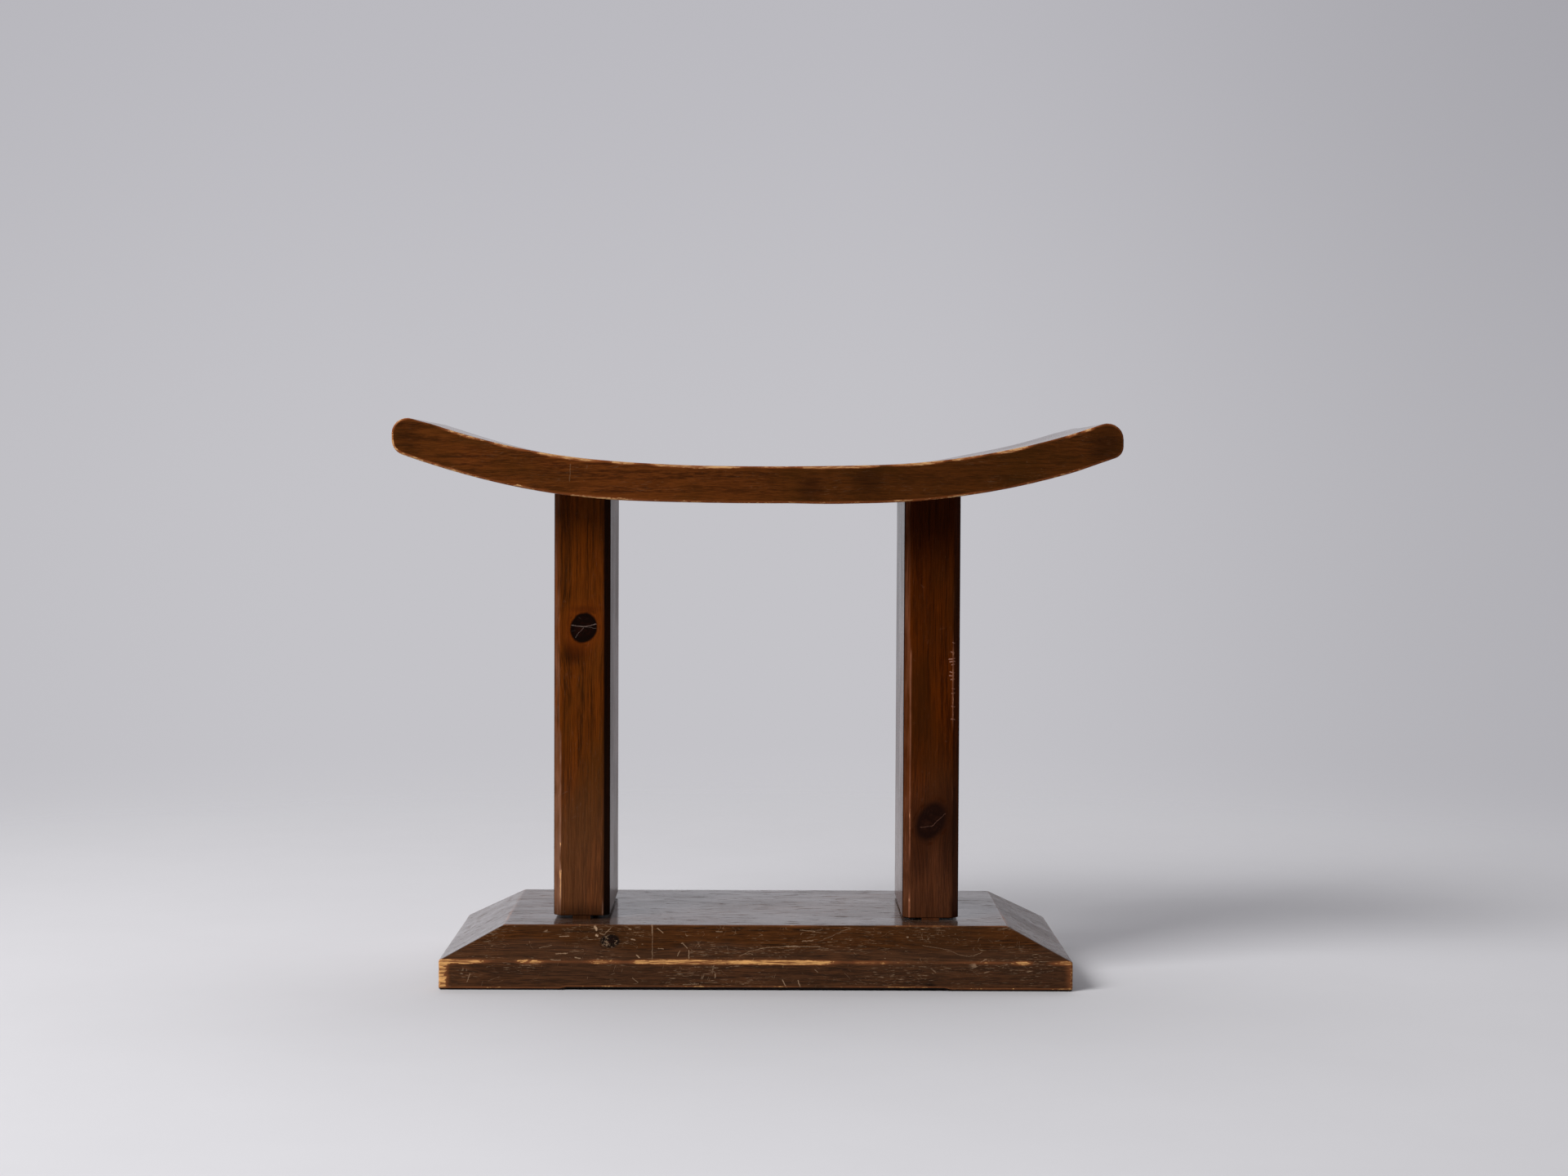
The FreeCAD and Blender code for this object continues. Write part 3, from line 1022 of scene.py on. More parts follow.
@dataclass
class Block:
    """A four sided block that is built ring by ring, with its corners cut or rounded.

    The lines across are where the front and back runs have points, the lines
    deep where the side runs have them, and a corner holds the steps from the
    front run to the right run, measured in from the sharp corner.
    """

    half_width: float
    half_depth: float
    lines_across: list[float]
    lines_deep: list[float]
    corner: list[Spot]

    def ring(self, skin: Skin, settle: Settle) -> Ring:
        """Add one level's points.

        Args:
            skin: The piece that gets the points.
            settle: Gives a point's final place and rubbing, which below zero is painted shade, from its
                place in the plan.

        Returns:
            The level's ring.
        """
        def added(places: Iterable[Spot]) -> list[int]:
            """Settle some points and add them."""
            return [skin.add(*settle(x, y)) for x, y in places]

        wide, deep, turned = self.half_width, self.half_depth, self.corner[::-1]
        front = added((x, -deep) for x in self.lines_across)
        front_right = added((wide - dx, dy - deep) for dx, dy in self.corner)
        right = added((wide, y) for y in self.lines_deep)
        back_right = added((wide - dx, deep - dy) for dx, dy in turned)
        back = added((x, deep) for x in reversed(self.lines_across))
        back_left = added((dx - wide, deep - dy) for dx, dy in self.corner)
        left = added((-wide, y) for y in reversed(self.lines_deep))
        front_left = added((dx - wide, dy - deep) for dx, dy in turned)
        return Ring(front, right, back, left, [front_right, back_right, back_left, front_left])

    def cap(self, skin: Skin, ring: Ring, settle: Callable[[float, float], Point]) -> list[Cell]:
        """Fill a ring with cells.

        Args:
            skin: The piece that gets the points.
            ring: The ring to fill. Its corners become faces here.
            settle: Gives an inner point's place from its place in the plan.

        Returns:
            The cells, which are not yet faces.
        """
        inner = [[skin.add(settle(x, y)) for y in self.lines_deep] for x in self.lines_across]
        front, right, back, left = ring.front, ring.right, ring.back[::-1], ring.left[::-1]
        columns = [[None, *left, None]]
        columns += [[first, *column, last] for first, column, last in zip(front, inner, back)]
        columns += [[None, *right, None]]
        cells = []
        for first, second in zip(columns, columns[1:]):
            for low in range(len(first) - 1):
                cell = (first[low], second[low], second[low + 1], first[low + 1])
                if None not in cell:
                    cells.append(cell)
        front_right, back_right, back_left, front_left = ring.corners
        skin.faces.append((front[-1], *front_right, right[0], inner[-1][0]))
        skin.faces.append((right[-1], *back_right, back[-1], inner[-1][-1]))
        skin.faces.append((back[0], *back_left, left[-1], inner[0][-1]))
        skin.faces.append((left[0], *front_left, front[0], inner[0][0]))
        return cells


@dataclass(frozen=True)
class Kerf:
    """The saw kerf that a wedge fills: the height of its root and its half width at the open end."""

    root: float
    half: float
    root_half: float = 0.5


@dataclass(frozen=True)
class Tenon:
    """The twin tenons of a leg and their kerfs, in millimetres."""

    leg_x: float = 137.0
    thickness: float = 14.0
    inner_y: float = 25.0
    outer_y: float = 67.0
    clearance: float = 0.1
    foot: float = 1.5
    seat_kerf: Kerf = Kerf(389.21, 1.74)
    base_kerf: Kerf = Kerf(37.5, 2.0)

    @property
    def half(self) -> float:
        """Give half of a tenon's thickness."""
        return self.thickness / 2

    def holds(self, x: float, y: float) -> bool:
        """Say whether a place lies in a tenon."""
        return abs(abs(x) - self.leg_x) < self.half and self.inner_y < abs(y) < self.outer_y

    def parted(self, skin: Skin, cells: Sequence[Cell]) -> tuple[list[Cell], list[Cell]]:
        """Part some cells of a piece into those in a tenon and those beside the tenons."""
        inside = [cell for cell in cells if self.holds(*skin.middle(cell))]
        return inside, [cell for cell in cells if not self.holds(*skin.middle(cell))]

    def edges_x(self) -> list[float]:
        """Give the lines along X where the mortises begin and end."""
        reach = self.half + self.clearance
        return [side * self.leg_x + way * reach for side in (-1, 1) for way in (-1, 1)]

    def edges_y(self) -> list[float]:
        """Give the lines along Y where the mortises begin and end."""
        inner, outer = self.inner_y - self.clearance, self.outer_y + self.clearance
        return [-outer, -inner, inner, outer]


def lines(start: float, end: float, step: float, kept: Sequence[float], near: float) -> list[float]:
    """Lay out grid lines that include some exact places.

    Args:
        start: First line.
        end: Last line.
        step: About how far apart the lines are.
        kept: Places that get a line of their own.
        near: How close an ordinary line may come to one of these.

    Returns:
        The lines in order.
    """
    count = max(2, round((end - start) / step) + 1)
    fixed = [start, end, *kept]
    free = [float(line) for line in np.linspace(start, end, count)[1:-1]]
    return sorted([*fixed, *(line for line in free if min(abs(line - other) for other in fixed) > near)])


def both_ways(places: Sequence[float]) -> list[float]:
    """Give some places on both sides of the middle, in order."""
    return sorted(way * place for way in (-1, 1) for place in places)


def drawn_in(line: float, held: float, full: float, inset: float) -> float:
    """Move a line in with a bevel, and leave those near the middle.

    Args:
        line: The line.
        held: How far from the middle the lines stay where they are.
        full: Where the outermost line is before.
        inset: How far the outermost line moves.

    Returns:
        Where the line is then.
    """
    if abs(line) <= held:
        return line
    return math.copysign(held + (abs(line) - held) * (full - inset - held) / (full - held), line)


@dataclass(frozen=True)
class SeatOutline:
    """The seat's front outline: the top from the left, the right end, the underside and the left end."""

    loop: list[Spot]
    top_count: int
    low_start: int

    def outward(self) -> np.ndarray:
        """Work out the direction out of the wood.

        Returns:
            The direction at each point, as a row of length 1.
        """
        flat = np.array(self.loop)
        run = np.roll(flat, -1, axis=0) - np.roll(flat, 1, axis=0)
        normals = np.stack([-run[:, 1], run[:, 0]], axis=1)
        return normals / np.linalg.norm(normals, axis=1, keepdims=True)


@dataclass(frozen=True)
class SeatLayer:
    """One layer of the seat: its place through the depth, its inset and its share of the edge's rubbing."""

    y: float
    inset: float = 0.0
    weight: float = 0.0


@dataclass
class Seat:
    """The saddle seat, sawn from one plank, in millimetres.

    A run says where a change begins and where it is complete. The rounds are
    those of the upper and the lower corner, the lips those of the front and
    the back, the least rubs those of the top and the underside, and the end
    rubs those of the left and the right end.
    """

    length: float = 560.0
    depth: float = 224.0
    thickness: float = 28.5
    height: float = 403.0
    middle_radius: float = 3000.0
    middle_half: float = 90.0
    end_radius: float = 570.0
    left_rounds: Spot = (12.0, 12.5)
    right_rounds: Spot = (12.5, 9.5)
    nose_length: float = 22.0
    nose_steps: int = 7
    arris: float = 1.5
    arris_weights: tuple[float, ...] = (0.8, 0.95, 1.0, 1.0, 0.85)
    near_gaps: tuple[float, ...] = (1.0, 2.2, 4.5)
    face_shares: tuple[float, ...] = (
        0.0, 0.035, 0.075, 0.12, 0.18, 0.34, 0.5, 0.66, 0.82, 0.88, 0.925, 0.965, 1.0,
    )
    station_step: float = 4.0
    station_room: float = 1.2
    layer_start: float = 12.0
    layer_step: float = 14.0
    layer_room: float = 5.0
    right_drop: float = 0.6
    right_drop_run: Spot = (150.0, 235.0)
    left_rise: float = 0.9
    left_rise_run: Spot = (150.0, 260.0)
    left_lips: Spot = (1.2, 0.5)
    left_lip_run: Spot = (40.0, 120.0)
    right_lips: Spot = (0.0, 1.8)
    right_lip_run: Spot = (130.0, 185.0)
    right_lip_kept: float = 0.33
    lip_start: float = 74.0
    lip_inset: float = 2.0
    lip_end: Spot = (-266.0, -246.0)
    right_sag: float = 0.8
    sag_run: Spot = (20.0, 60.0)
    sag_end: Spot = (-266.0, -240.0)
    curve_end: float = 268.0
    rub_reach: float = 2.1
    near_rub: float = 0.8
    least_rubs: Spot = (0.46, 0.6)
    rub_swing: float = 0.14
    end_rubs: Spot = (0.52, 0.46)
    chips: Chipping = Chipping(0.45, 0.9, 0.21)
    chipped_from: float = 0.79
    tenon: Tenon = Tenon()
    top_wear: tuple[Stretch, ...] = (
        Stretch(-290.0, -262.0, 0.6),
        Stretch(-246.0, -203.0, 0.72),
        Stretch(-206.0, -176.0, 0.84),
        Stretch(-172.0, -118.0, 0.92),
        Stretch(-122.0, -84.0, 0.76),
        Stretch(-86.0, -8.0, 0.88),
        Stretch(-4.0, 34.0, 0.7),
        Stretch(28.0, 96.0, 0.92),
        Stretch(98.0, 148.0, 0.86),
        Stretch(140.0, 182.0, 0.74),
        Stretch(178.0, 213.0, 0.92),
        Stretch(236.0, 243.0, 1.0),
        Stretch(249.0, 256.0, 1.0),
        Stretch(264.0, 290.0, 0.62),
    )
    low_wear: tuple[Stretch, ...] = (Stretch(-300.0, -214.0, 0.74), Stretch(-192.0, -174.0, 0.8))

    @property
    def end_centre(self) -> Spot:
        """Work out the centre of the arc at the right end.

        Returns:
            The centre along and up.
        """
        share = 1.0 - self.end_radius / self.middle_radius
        rise = math.sqrt(self.middle_radius**2 - self.middle_half**2)
        return self.middle_half * share, self.height + self.middle_radius - rise * share

    def surface(self, x: float, below: float = 0.0) -> float:
        """Give the height of the saddle's surface.

        Args:
            x: Place along the seat.
            below: How far under the top, measured square to it.

        Returns:
            The height there.
        """
        middle = self.middle_radius + below
        if abs(x) <= self.middle_half * middle / self.middle_radius:
            return self.height + self.middle_radius - math.sqrt(middle**2 - x**2)
        centre_x, centre_z = self.end_centre
        return centre_z - math.sqrt((self.end_radius + below) ** 2 - (abs(x) - centre_x) ** 2)

    def nose(self, radius: float, share: float, upper: bool) -> Spot:
        """Follow the rounding at the right end's upper or lower corner.

        Args:
            radius: The rounding.
            share: How far round, from 0 on the face to 1 on the upright end.
            upper: Whether it is the upper corner.

        Returns:
            The point along and up.
        """
        centre_x, centre_z = self.end_centre
        reach = self.end_radius + radius if upper else self.end_radius + self.thickness - radius
        x = self.length / 2 - radius
        z = centre_z - math.sqrt(reach**2 - (x - centre_x) ** 2)
        outward = math.atan2(z - centre_z, x - centre_x)
        start = outward + math.pi if upper else outward
        angle = start * (1.0 - share)
        return x + radius * math.cos(angle), z + radius * math.sin(angle)

    def outline(self) -> SeatOutline:
        """Lay out the front outline.

        Returns:
            The outline, whose top and underside have matching points.
        """
        reach = self.length / 2 - self.nose_length
        stations = lines(-reach, reach, self.station_step, self.tenon.edges_x(), self.station_room)
        turns = [step / self.nose_steps for step in range(self.nose_steps + 1)]
        runs = []
        for number, below in enumerate((0.0, self.thickness)):
            upper = number == 0
            left = [self.nose(self.left_rounds[number], turn, upper) for turn in reversed(turns)]
            right = [self.nose(self.right_rounds[number], turn, upper) for turn in turns]
            middle = [(x, self.surface(x, below)) for x in stations]
            runs.append([(-x, z) for x, z in left] + middle + right)
        tops, lows = runs
        ends = []
        for (x, z), (low_x, low_z) in ((tops[-1], lows[-1]), (tops[0], lows[0])):
            shares = self.face_shares[1:-1]
            ends.append([(x + (low_x - x) * share, z + (low_z - z) * share) for share in shares])
        right_end, left_end = ends
        loop = tops + right_end + lows[::-1] + left_end[::-1]
        return SeatOutline(loop, len(tops), len(tops) + len(right_end))

    def settled(self, x: float, y: float, z: float) -> Point:
        """Let the left end rise a little, the right end thin out and the long edges stand as lips.

        Args:
            x: Place along the seat.
            y: Place through its depth.
            z: Height.

        Returns:
            The settled place.
        """
        held = min(max(x, -self.curve_end), self.curve_end)
        top, low = self.surface(held), self.surface(held, self.thickness)
        upper = min(max((z - low) / (top - low), 0.0), 1.0)
        rise = self.left_rise * ease(-x, *self.left_rise_run)
        rise -= self.right_drop * upper * ease(x, *self.right_drop_run)
        lips = self.left_lips if x < 0.0 else self.right_lips
        lip = lips[0 if y < 0.0 else 1] * ease(abs(y), self.lip_start, self.depth / 2 - self.lip_inset)
        run = ease(-x, *self.left_lip_run) if x < 0.0 else ease(x, *self.right_lip_run)
        kept = self.right_lip_kept if x > 0.0 else 0.0
        rise += upper * lip * run * (kept + (1.0 - kept) * ease(-abs(x), *self.lip_end))
        rise -= (1.0 - upper) * self.right_sag * ease(x, *self.sag_run) * ease(-x, *self.sag_end)
        return x, y, z + rise

    def rub(self, x: float, upper: bool, front: bool) -> float:
        """Give the rubbing of the seat's long edges.

        Args:
            x: Place along the seat.
            upper: Whether it is a top edge.
            front: Whether it is a front edge.

        Returns:
            The rubbing there.
        """
        # Each edge reads a row of its own from the unevenness.
        level, row = (self.least_rubs[0], 40.0) if upper else (self.least_rubs[1], 80.0)
        least = drifting(level, self.rub_swing, x, row, 0.0 if front else 60.0)
        if not front:
            return least
        return rubbed(self.top_wear if upper else self.low_wear, x, least)

    def layers(self) -> list[SeatLayer]:
        """Lay out the layers from the front to the back.

        Returns:
            The layers, close together round the front and back edges.
        """
        half = self.depth / 2
        edge = []
        turns = np.linspace(0.0, 90.0, len(self.arris_weights))
        for turn, weight in zip(np.radians(turns).tolist(), self.arris_weights):
            y = self.arris * (1 - math.cos(turn)) - half
            edge.append(SeatLayer(y, self.arris * (1 - math.sin(turn)), weight))
        for gap in self.near_gaps:
            weight = self.near_rub * max(0.0, 1.0 - gap / self.rub_reach)
            edge.append(SeatLayer(self.arris + gap - half, 0.0, weight))
        reach = half - self.layer_start
        middles = lines(-reach, reach, self.layer_step, self.tenon.edges_y(), self.layer_room)
        back = [SeatLayer(-layer.y, layer.inset, layer.weight) for layer in reversed(edge)]
        return edge + [SeatLayer(y) for y in middles] + back

    def rows(self, skin: Skin, outline: SeatOutline, layers: Sequence[SeatLayer]) -> list[list[int]]:
        """Add the points of all the layers.

        Args:
            skin: The seat's skin.
            outline: The front outline.
            layers: The layers.

        Returns:
            The point numbers of each layer round the outline.
        """
        outward = outline.outward()
        rows = []
        for layer in layers:
            row = []
            front = layer.y < 0.0
            for number, (x, z) in enumerate(outline.loop):
                upper = number < outline.top_count
                if upper or number >= outline.low_start:
                    worn = self.rub(x, upper, front)
                else:
                    worn = self.end_rubs[0 if x < 0.0 else 1]
                pull = layer.inset
                if layer.weight > self.chipped_from:
                    pull += self.chips.at(worn, x, layer.y, z)
                out_x, out_z = outward[number]
                place = self.settled(x - out_x * pull, layer.y, z - out_z * pull)
                row.append(skin.add(place, worn * layer.weight))
            rows.append(row)
        return rows

    def build(self, material: bpy.types.Material) -> bpy.types.Object:
        """Build the seat's mesh.

        Args:
            material: Its finish.

        Returns:
            The seat.
        """
        skin = Skin()
        outline = self.outline()
        layers = self.layers()
        rows = self.rows(skin, outline, layers)
        loop, size = outline.loop, len(outline.loop)
        openings: list[Cell] = []
        for first, second, near, far in zip(rows, rows[1:], layers, layers[1:]):
            for here in range(size):
                after = (here + 1) % size
                cell = (first[here], first[after], second[after], second[here])
                if not self.tenon.holds((loop[here][0] + loop[after][0]) / 2, (near.y + far.y) / 2):
                    skin.faces.append(cell)
                elif here < outline.top_count:
                    openings.append(cell)
        skin.extrude(openings, self.under)
        self.face(skin, rows[0], outline, front=True)
        self.face(skin, rows[-1], outline, front=False)
        return skin.piece("saddle_seat", material)

    def under(self, place: Point) -> Point:
        """Give the place on the underside below a place on the top."""
        return self.settled(*place[:2], self.surface(place[0], self.thickness))

    def face(self, skin: Skin, row: Sequence[int], outline: SeatOutline, front: bool) -> None:
        """Fill the front or back face between the top and the underside.

        Args:
            skin: The seat's skin.
            row: The outermost row of the outline.
            outline: The front outline.
            front: Whether it is the front face.
        """
        count, low_start = outline.top_count, outline.low_start
        tops, lows = row[:count], row[low_start:low_start + count][::-1]
        columns = []
        for top, low in zip(tops[1:-1], lows[1:-1]):
            (x, y, z), (low_x, _, low_z) = skin.points[top], skin.points[low]
            column = [top]
            for share in self.face_shares[1:-1]:
                away = min(share, 1.0 - share) * self.thickness
                worn = self.rub(x, share < 0.5, front) * self.near_rub
                rub = worn * max(0.0, 1.0 - away / self.rub_reach)
                column.append(skin.add((x + (low_x - x) * share, y, z + (low_z - z) * share), rub))
            columns.append([*column, low])
        left_end = [tops[0], *row[low_start + count:][::-1], lows[0]]
        right_end = [tops[-1], *row[count:low_start], lows[-1]]
        columns = [left_end, *columns, right_end]
        for first, second in zip(columns, columns[1:]):
            skin.band(first, second, closed=False)


@dataclass
class Leg:
    """One upright board with chamfered corners and twin tenons at both ends, in millimetres.

    Each chamfer's rubbing is given at the foot and at the head; a value below zero is painted shade on that
    chamfer.
    """

    side: Side
    seat: Seat
    shoulder: float
    wear: dict[Corner, tuple[Stretch, ...]]
    chamfer_rub: dict[Corner, Spot]
    width: float = 44.0
    depth: float = 134.0
    chamfer: float = 5.2
    ease_edge: float = 0.5
    soft_share: float = 0.7
    soft_run: float = 0.4
    near_gaps: Spot = (1.0, 3.0)
    kerf_line: float = 1.9
    deep_lines: Spot = (8.0, 45.0)
    scribe: float = 0.2
    foot_inset: float = 0.5
    foot_levels: Spot = (0.6, 2.5)
    level_step: float = 6.0
    arris_grime: float = -0.75
    arris_reach: float = 0.6
    arris_fade: Spot = (-2.2, -0.4)
    least_rub: float = 0.28
    rub_swing: float = 0.18
    chamfer_swing: float = 0.05
    chamfer_scale: float = 0.08
    chamfer_run: Spot = (60.0, 350.0)
    web_half: float = 0.6
    cheek_room: float = 0.5
    chips: Chipping = Chipping(0.5, 0.8, 0.2)
    tenon: Tenon = Tenon()

    @property
    def middle(self) -> float:
        """Give the place of the board's middle along the stool."""
        return self.side.value * self.tenon.leg_x

    def head(self, x: float) -> float:
        """Give the height where the board meets the seat."""
        return self.seat.settled(x, 0.0, self.seat.surface(x, self.seat.thickness))[2] - self.scribe

    def plan(self) -> Block:
        """Lay out the board's plan about its own middle.

        Returns:
            The block that the board is built from.
        """
        run_end = self.chamfer + self.ease_edge
        gaps = [run_end, *(run_end + gap for gap in self.near_gaps)]
        across = both_ways([self.tenon.half, self.kerf_line, *(self.width / 2 - gap for gap in gaps)])
        deep = both_ways([self.tenon.inner_y, *self.deep_lines, *(self.depth / 2 - gap for gap in gaps)])
        soft = self.ease_edge * self.soft_share
        flat = soft + self.soft_run
        steps = [(self.chamfer - inset, inset) for inset in (soft, flat)]
        corner = steps + [(inset, far) for far, inset in reversed(steps)]
        return Block(self.width / 2, self.depth / 2, across, deep, corner)

    def placed(self, level: float, inset: float, x: float, y: float) -> tuple[Point, float]:
        """Place one point of the board's outside.

        Args:
            level: How far up it is, from 0 at the shoulder to 1 at the head.
            inset: How far it is drawn in.
            x: Place across the board from its middle.
            y: Place through its depth.

        Returns:
            The point's place and rubbing, which below zero is painted shade.
        """
        z = self.shoulder + level * (self.head(self.middle + x) - self.shoulder)
        rub = self.rub_at(x, y, z)
        pull = inset + self.chips.at(rub, self.middle + x, y, z)
        drawn_x, drawn_y = 1.0 - pull / (self.width / 2), 1.0 - pull / (self.depth / 2)
        return (self.middle + x * drawn_x, y * drawn_y, z), rub

    def build(self, material: bpy.types.Material) -> bpy.types.Object:
        """Build the leg's mesh.

        Args:
            material: Its finish.

        Returns:
            The leg.
        """
        skin = Skin()
        block = self.plan()
        tall = self.head(self.middle) - self.shoulder
        first, second = (height / tall for height in self.foot_levels)
        rings = [block.ring(skin, partial(self.placed, 0.0, self.foot_inset))]
        for level in (first, *np.linspace(second, 1.0, round(tall / self.level_step))):
            rings.append(block.ring(skin, partial(self.placed, float(level), 0.0)))
        skin.stack(rings)
        ends = (
            (rings[0], lambda x: self.shoulder, self.tenon.base_kerf, lambda x: self.tenon.foot),
            (rings[-1], self.head, self.tenon.seat_kerf, self.seat.surface),
        )
        for ring, cap_at, kerf, end_at in ends:
            cells = block.cap(skin, ring, lambda x, y: (self.middle + x, y, cap_at(self.middle + x)))
            inside, beside = self.tenon.parted(skin, cells)
            skin.faces += beside
            self.raise_tenons(skin, inside, kerf, end_at)
        return skin.piece(f"{self.side.word}_upright", material)

    def raise_tenons(self, skin: Skin, cells: Sequence[Cell], kerf: Kerf, end_at: Shape) -> None:
        """Raise the twin tenons of one end, each with its kerf.

        Args:
            skin: The leg's skin.
            cells: The end's cells where the tenons stand.
            kerf: The kerf in them.
            end_at: Gives the height of a tenon's end at a place along the stool.
        """
        for way_y in (-1.0, 1.0):
            mine = [cell for cell in cells if skin.points[cell[0]][1] * way_y > 0.0]
            web = skin.extrude(mine, lambda p: (self.cheek(p[0], kerf.root_half), p[1], kerf.root))
            offsets = [skin.middle(cell)[0] - self.middle for cell in web]
            skin.faces += [cell for cell, offset in zip(web, offsets) if abs(offset) < self.web_half]
            for way in (-1.0, 1.0):
                cheeks = [cell for cell, offset in zip(web, offsets) if offset * way >= self.web_half]
                skin.faces += skin.extrude(cheeks, lambda p: self.tenon_end(p, kerf.half, end_at))

    def cheek(self, x: float, kerf_half: float) -> float:
        """Move a line to the kerf's side or to the tenon's cheek, whichever it belongs to.

        Args:
            x: The line's place along the stool.
            kerf_half: Half of the kerf's width.

        Returns:
            Where the line goes.
        """
        local = x - self.middle
        reach = kerf_half if abs(local) < self.tenon.half - self.cheek_room else self.tenon.half
        return self.middle + math.copysign(reach, local)

    def tenon_end(self, place: Point, kerf_half: float, end_at: Shape) -> Point:
        """Move a point of a tenon to where the tenon ends."""
        x = self.cheek(place[0], kerf_half)
        return x, place[1], end_at(x)

    def rub_at(self, x: float, y: float, z: float) -> float:
        """Give the rubbing at a place on the board, which below zero is painted shade.

        Args:
            x: Place across the board from its middle.
            y: Place through its depth.
            z: Height.

        Returns:
            The rubbing there, which below zero is painted shade.
        """
        from_side, from_face = self.width / 2 - abs(x), self.depth / 2 - abs(y)
        face_edge = math.hypot(from_side - self.chamfer, from_face)
        side_edge = math.hypot(from_side, from_face - self.chamfer)
        corner = Corner.of(x, y)
        if min(from_side, from_face) > self.arris_reach:
            # Below zero this is painted shade on the chamfer, not rubbing.
            foot, head = self.chamfer_rub.get(corner, (0.0, 0.0))
            uneven = self.chamfer_swing * ragged(x, y, z, self.chamfer_scale)
            return foot + (head - foot) * ease(z, *self.chamfer_run) + uneven
        # The arris between a chamfer and the side is painted as a dark line of shade.
        if side_edge < self.arris_reach:
            return self.arris_grime
        # Each corner reads a column of its own from the unevenness.
        least = drifting(self.least_rub, self.rub_swing, 40.0 * (x > 0), 90.0 * (y > 0), z)
        return rubbed(self.wear.get(corner, ()), z, least) * ease(-face_edge, *self.arris_fade)


@dataclass(frozen=True)
class Level:
    """One ring of the base: its height, its insets, its edge and its share of the edge's rubbing, which
    below zero paints shade.
    """

    height: float
    inset_x: float = 0.0
    inset_y: float = 0.0
    edge: Edge = Edge.NONE
    weight: float = 0.0


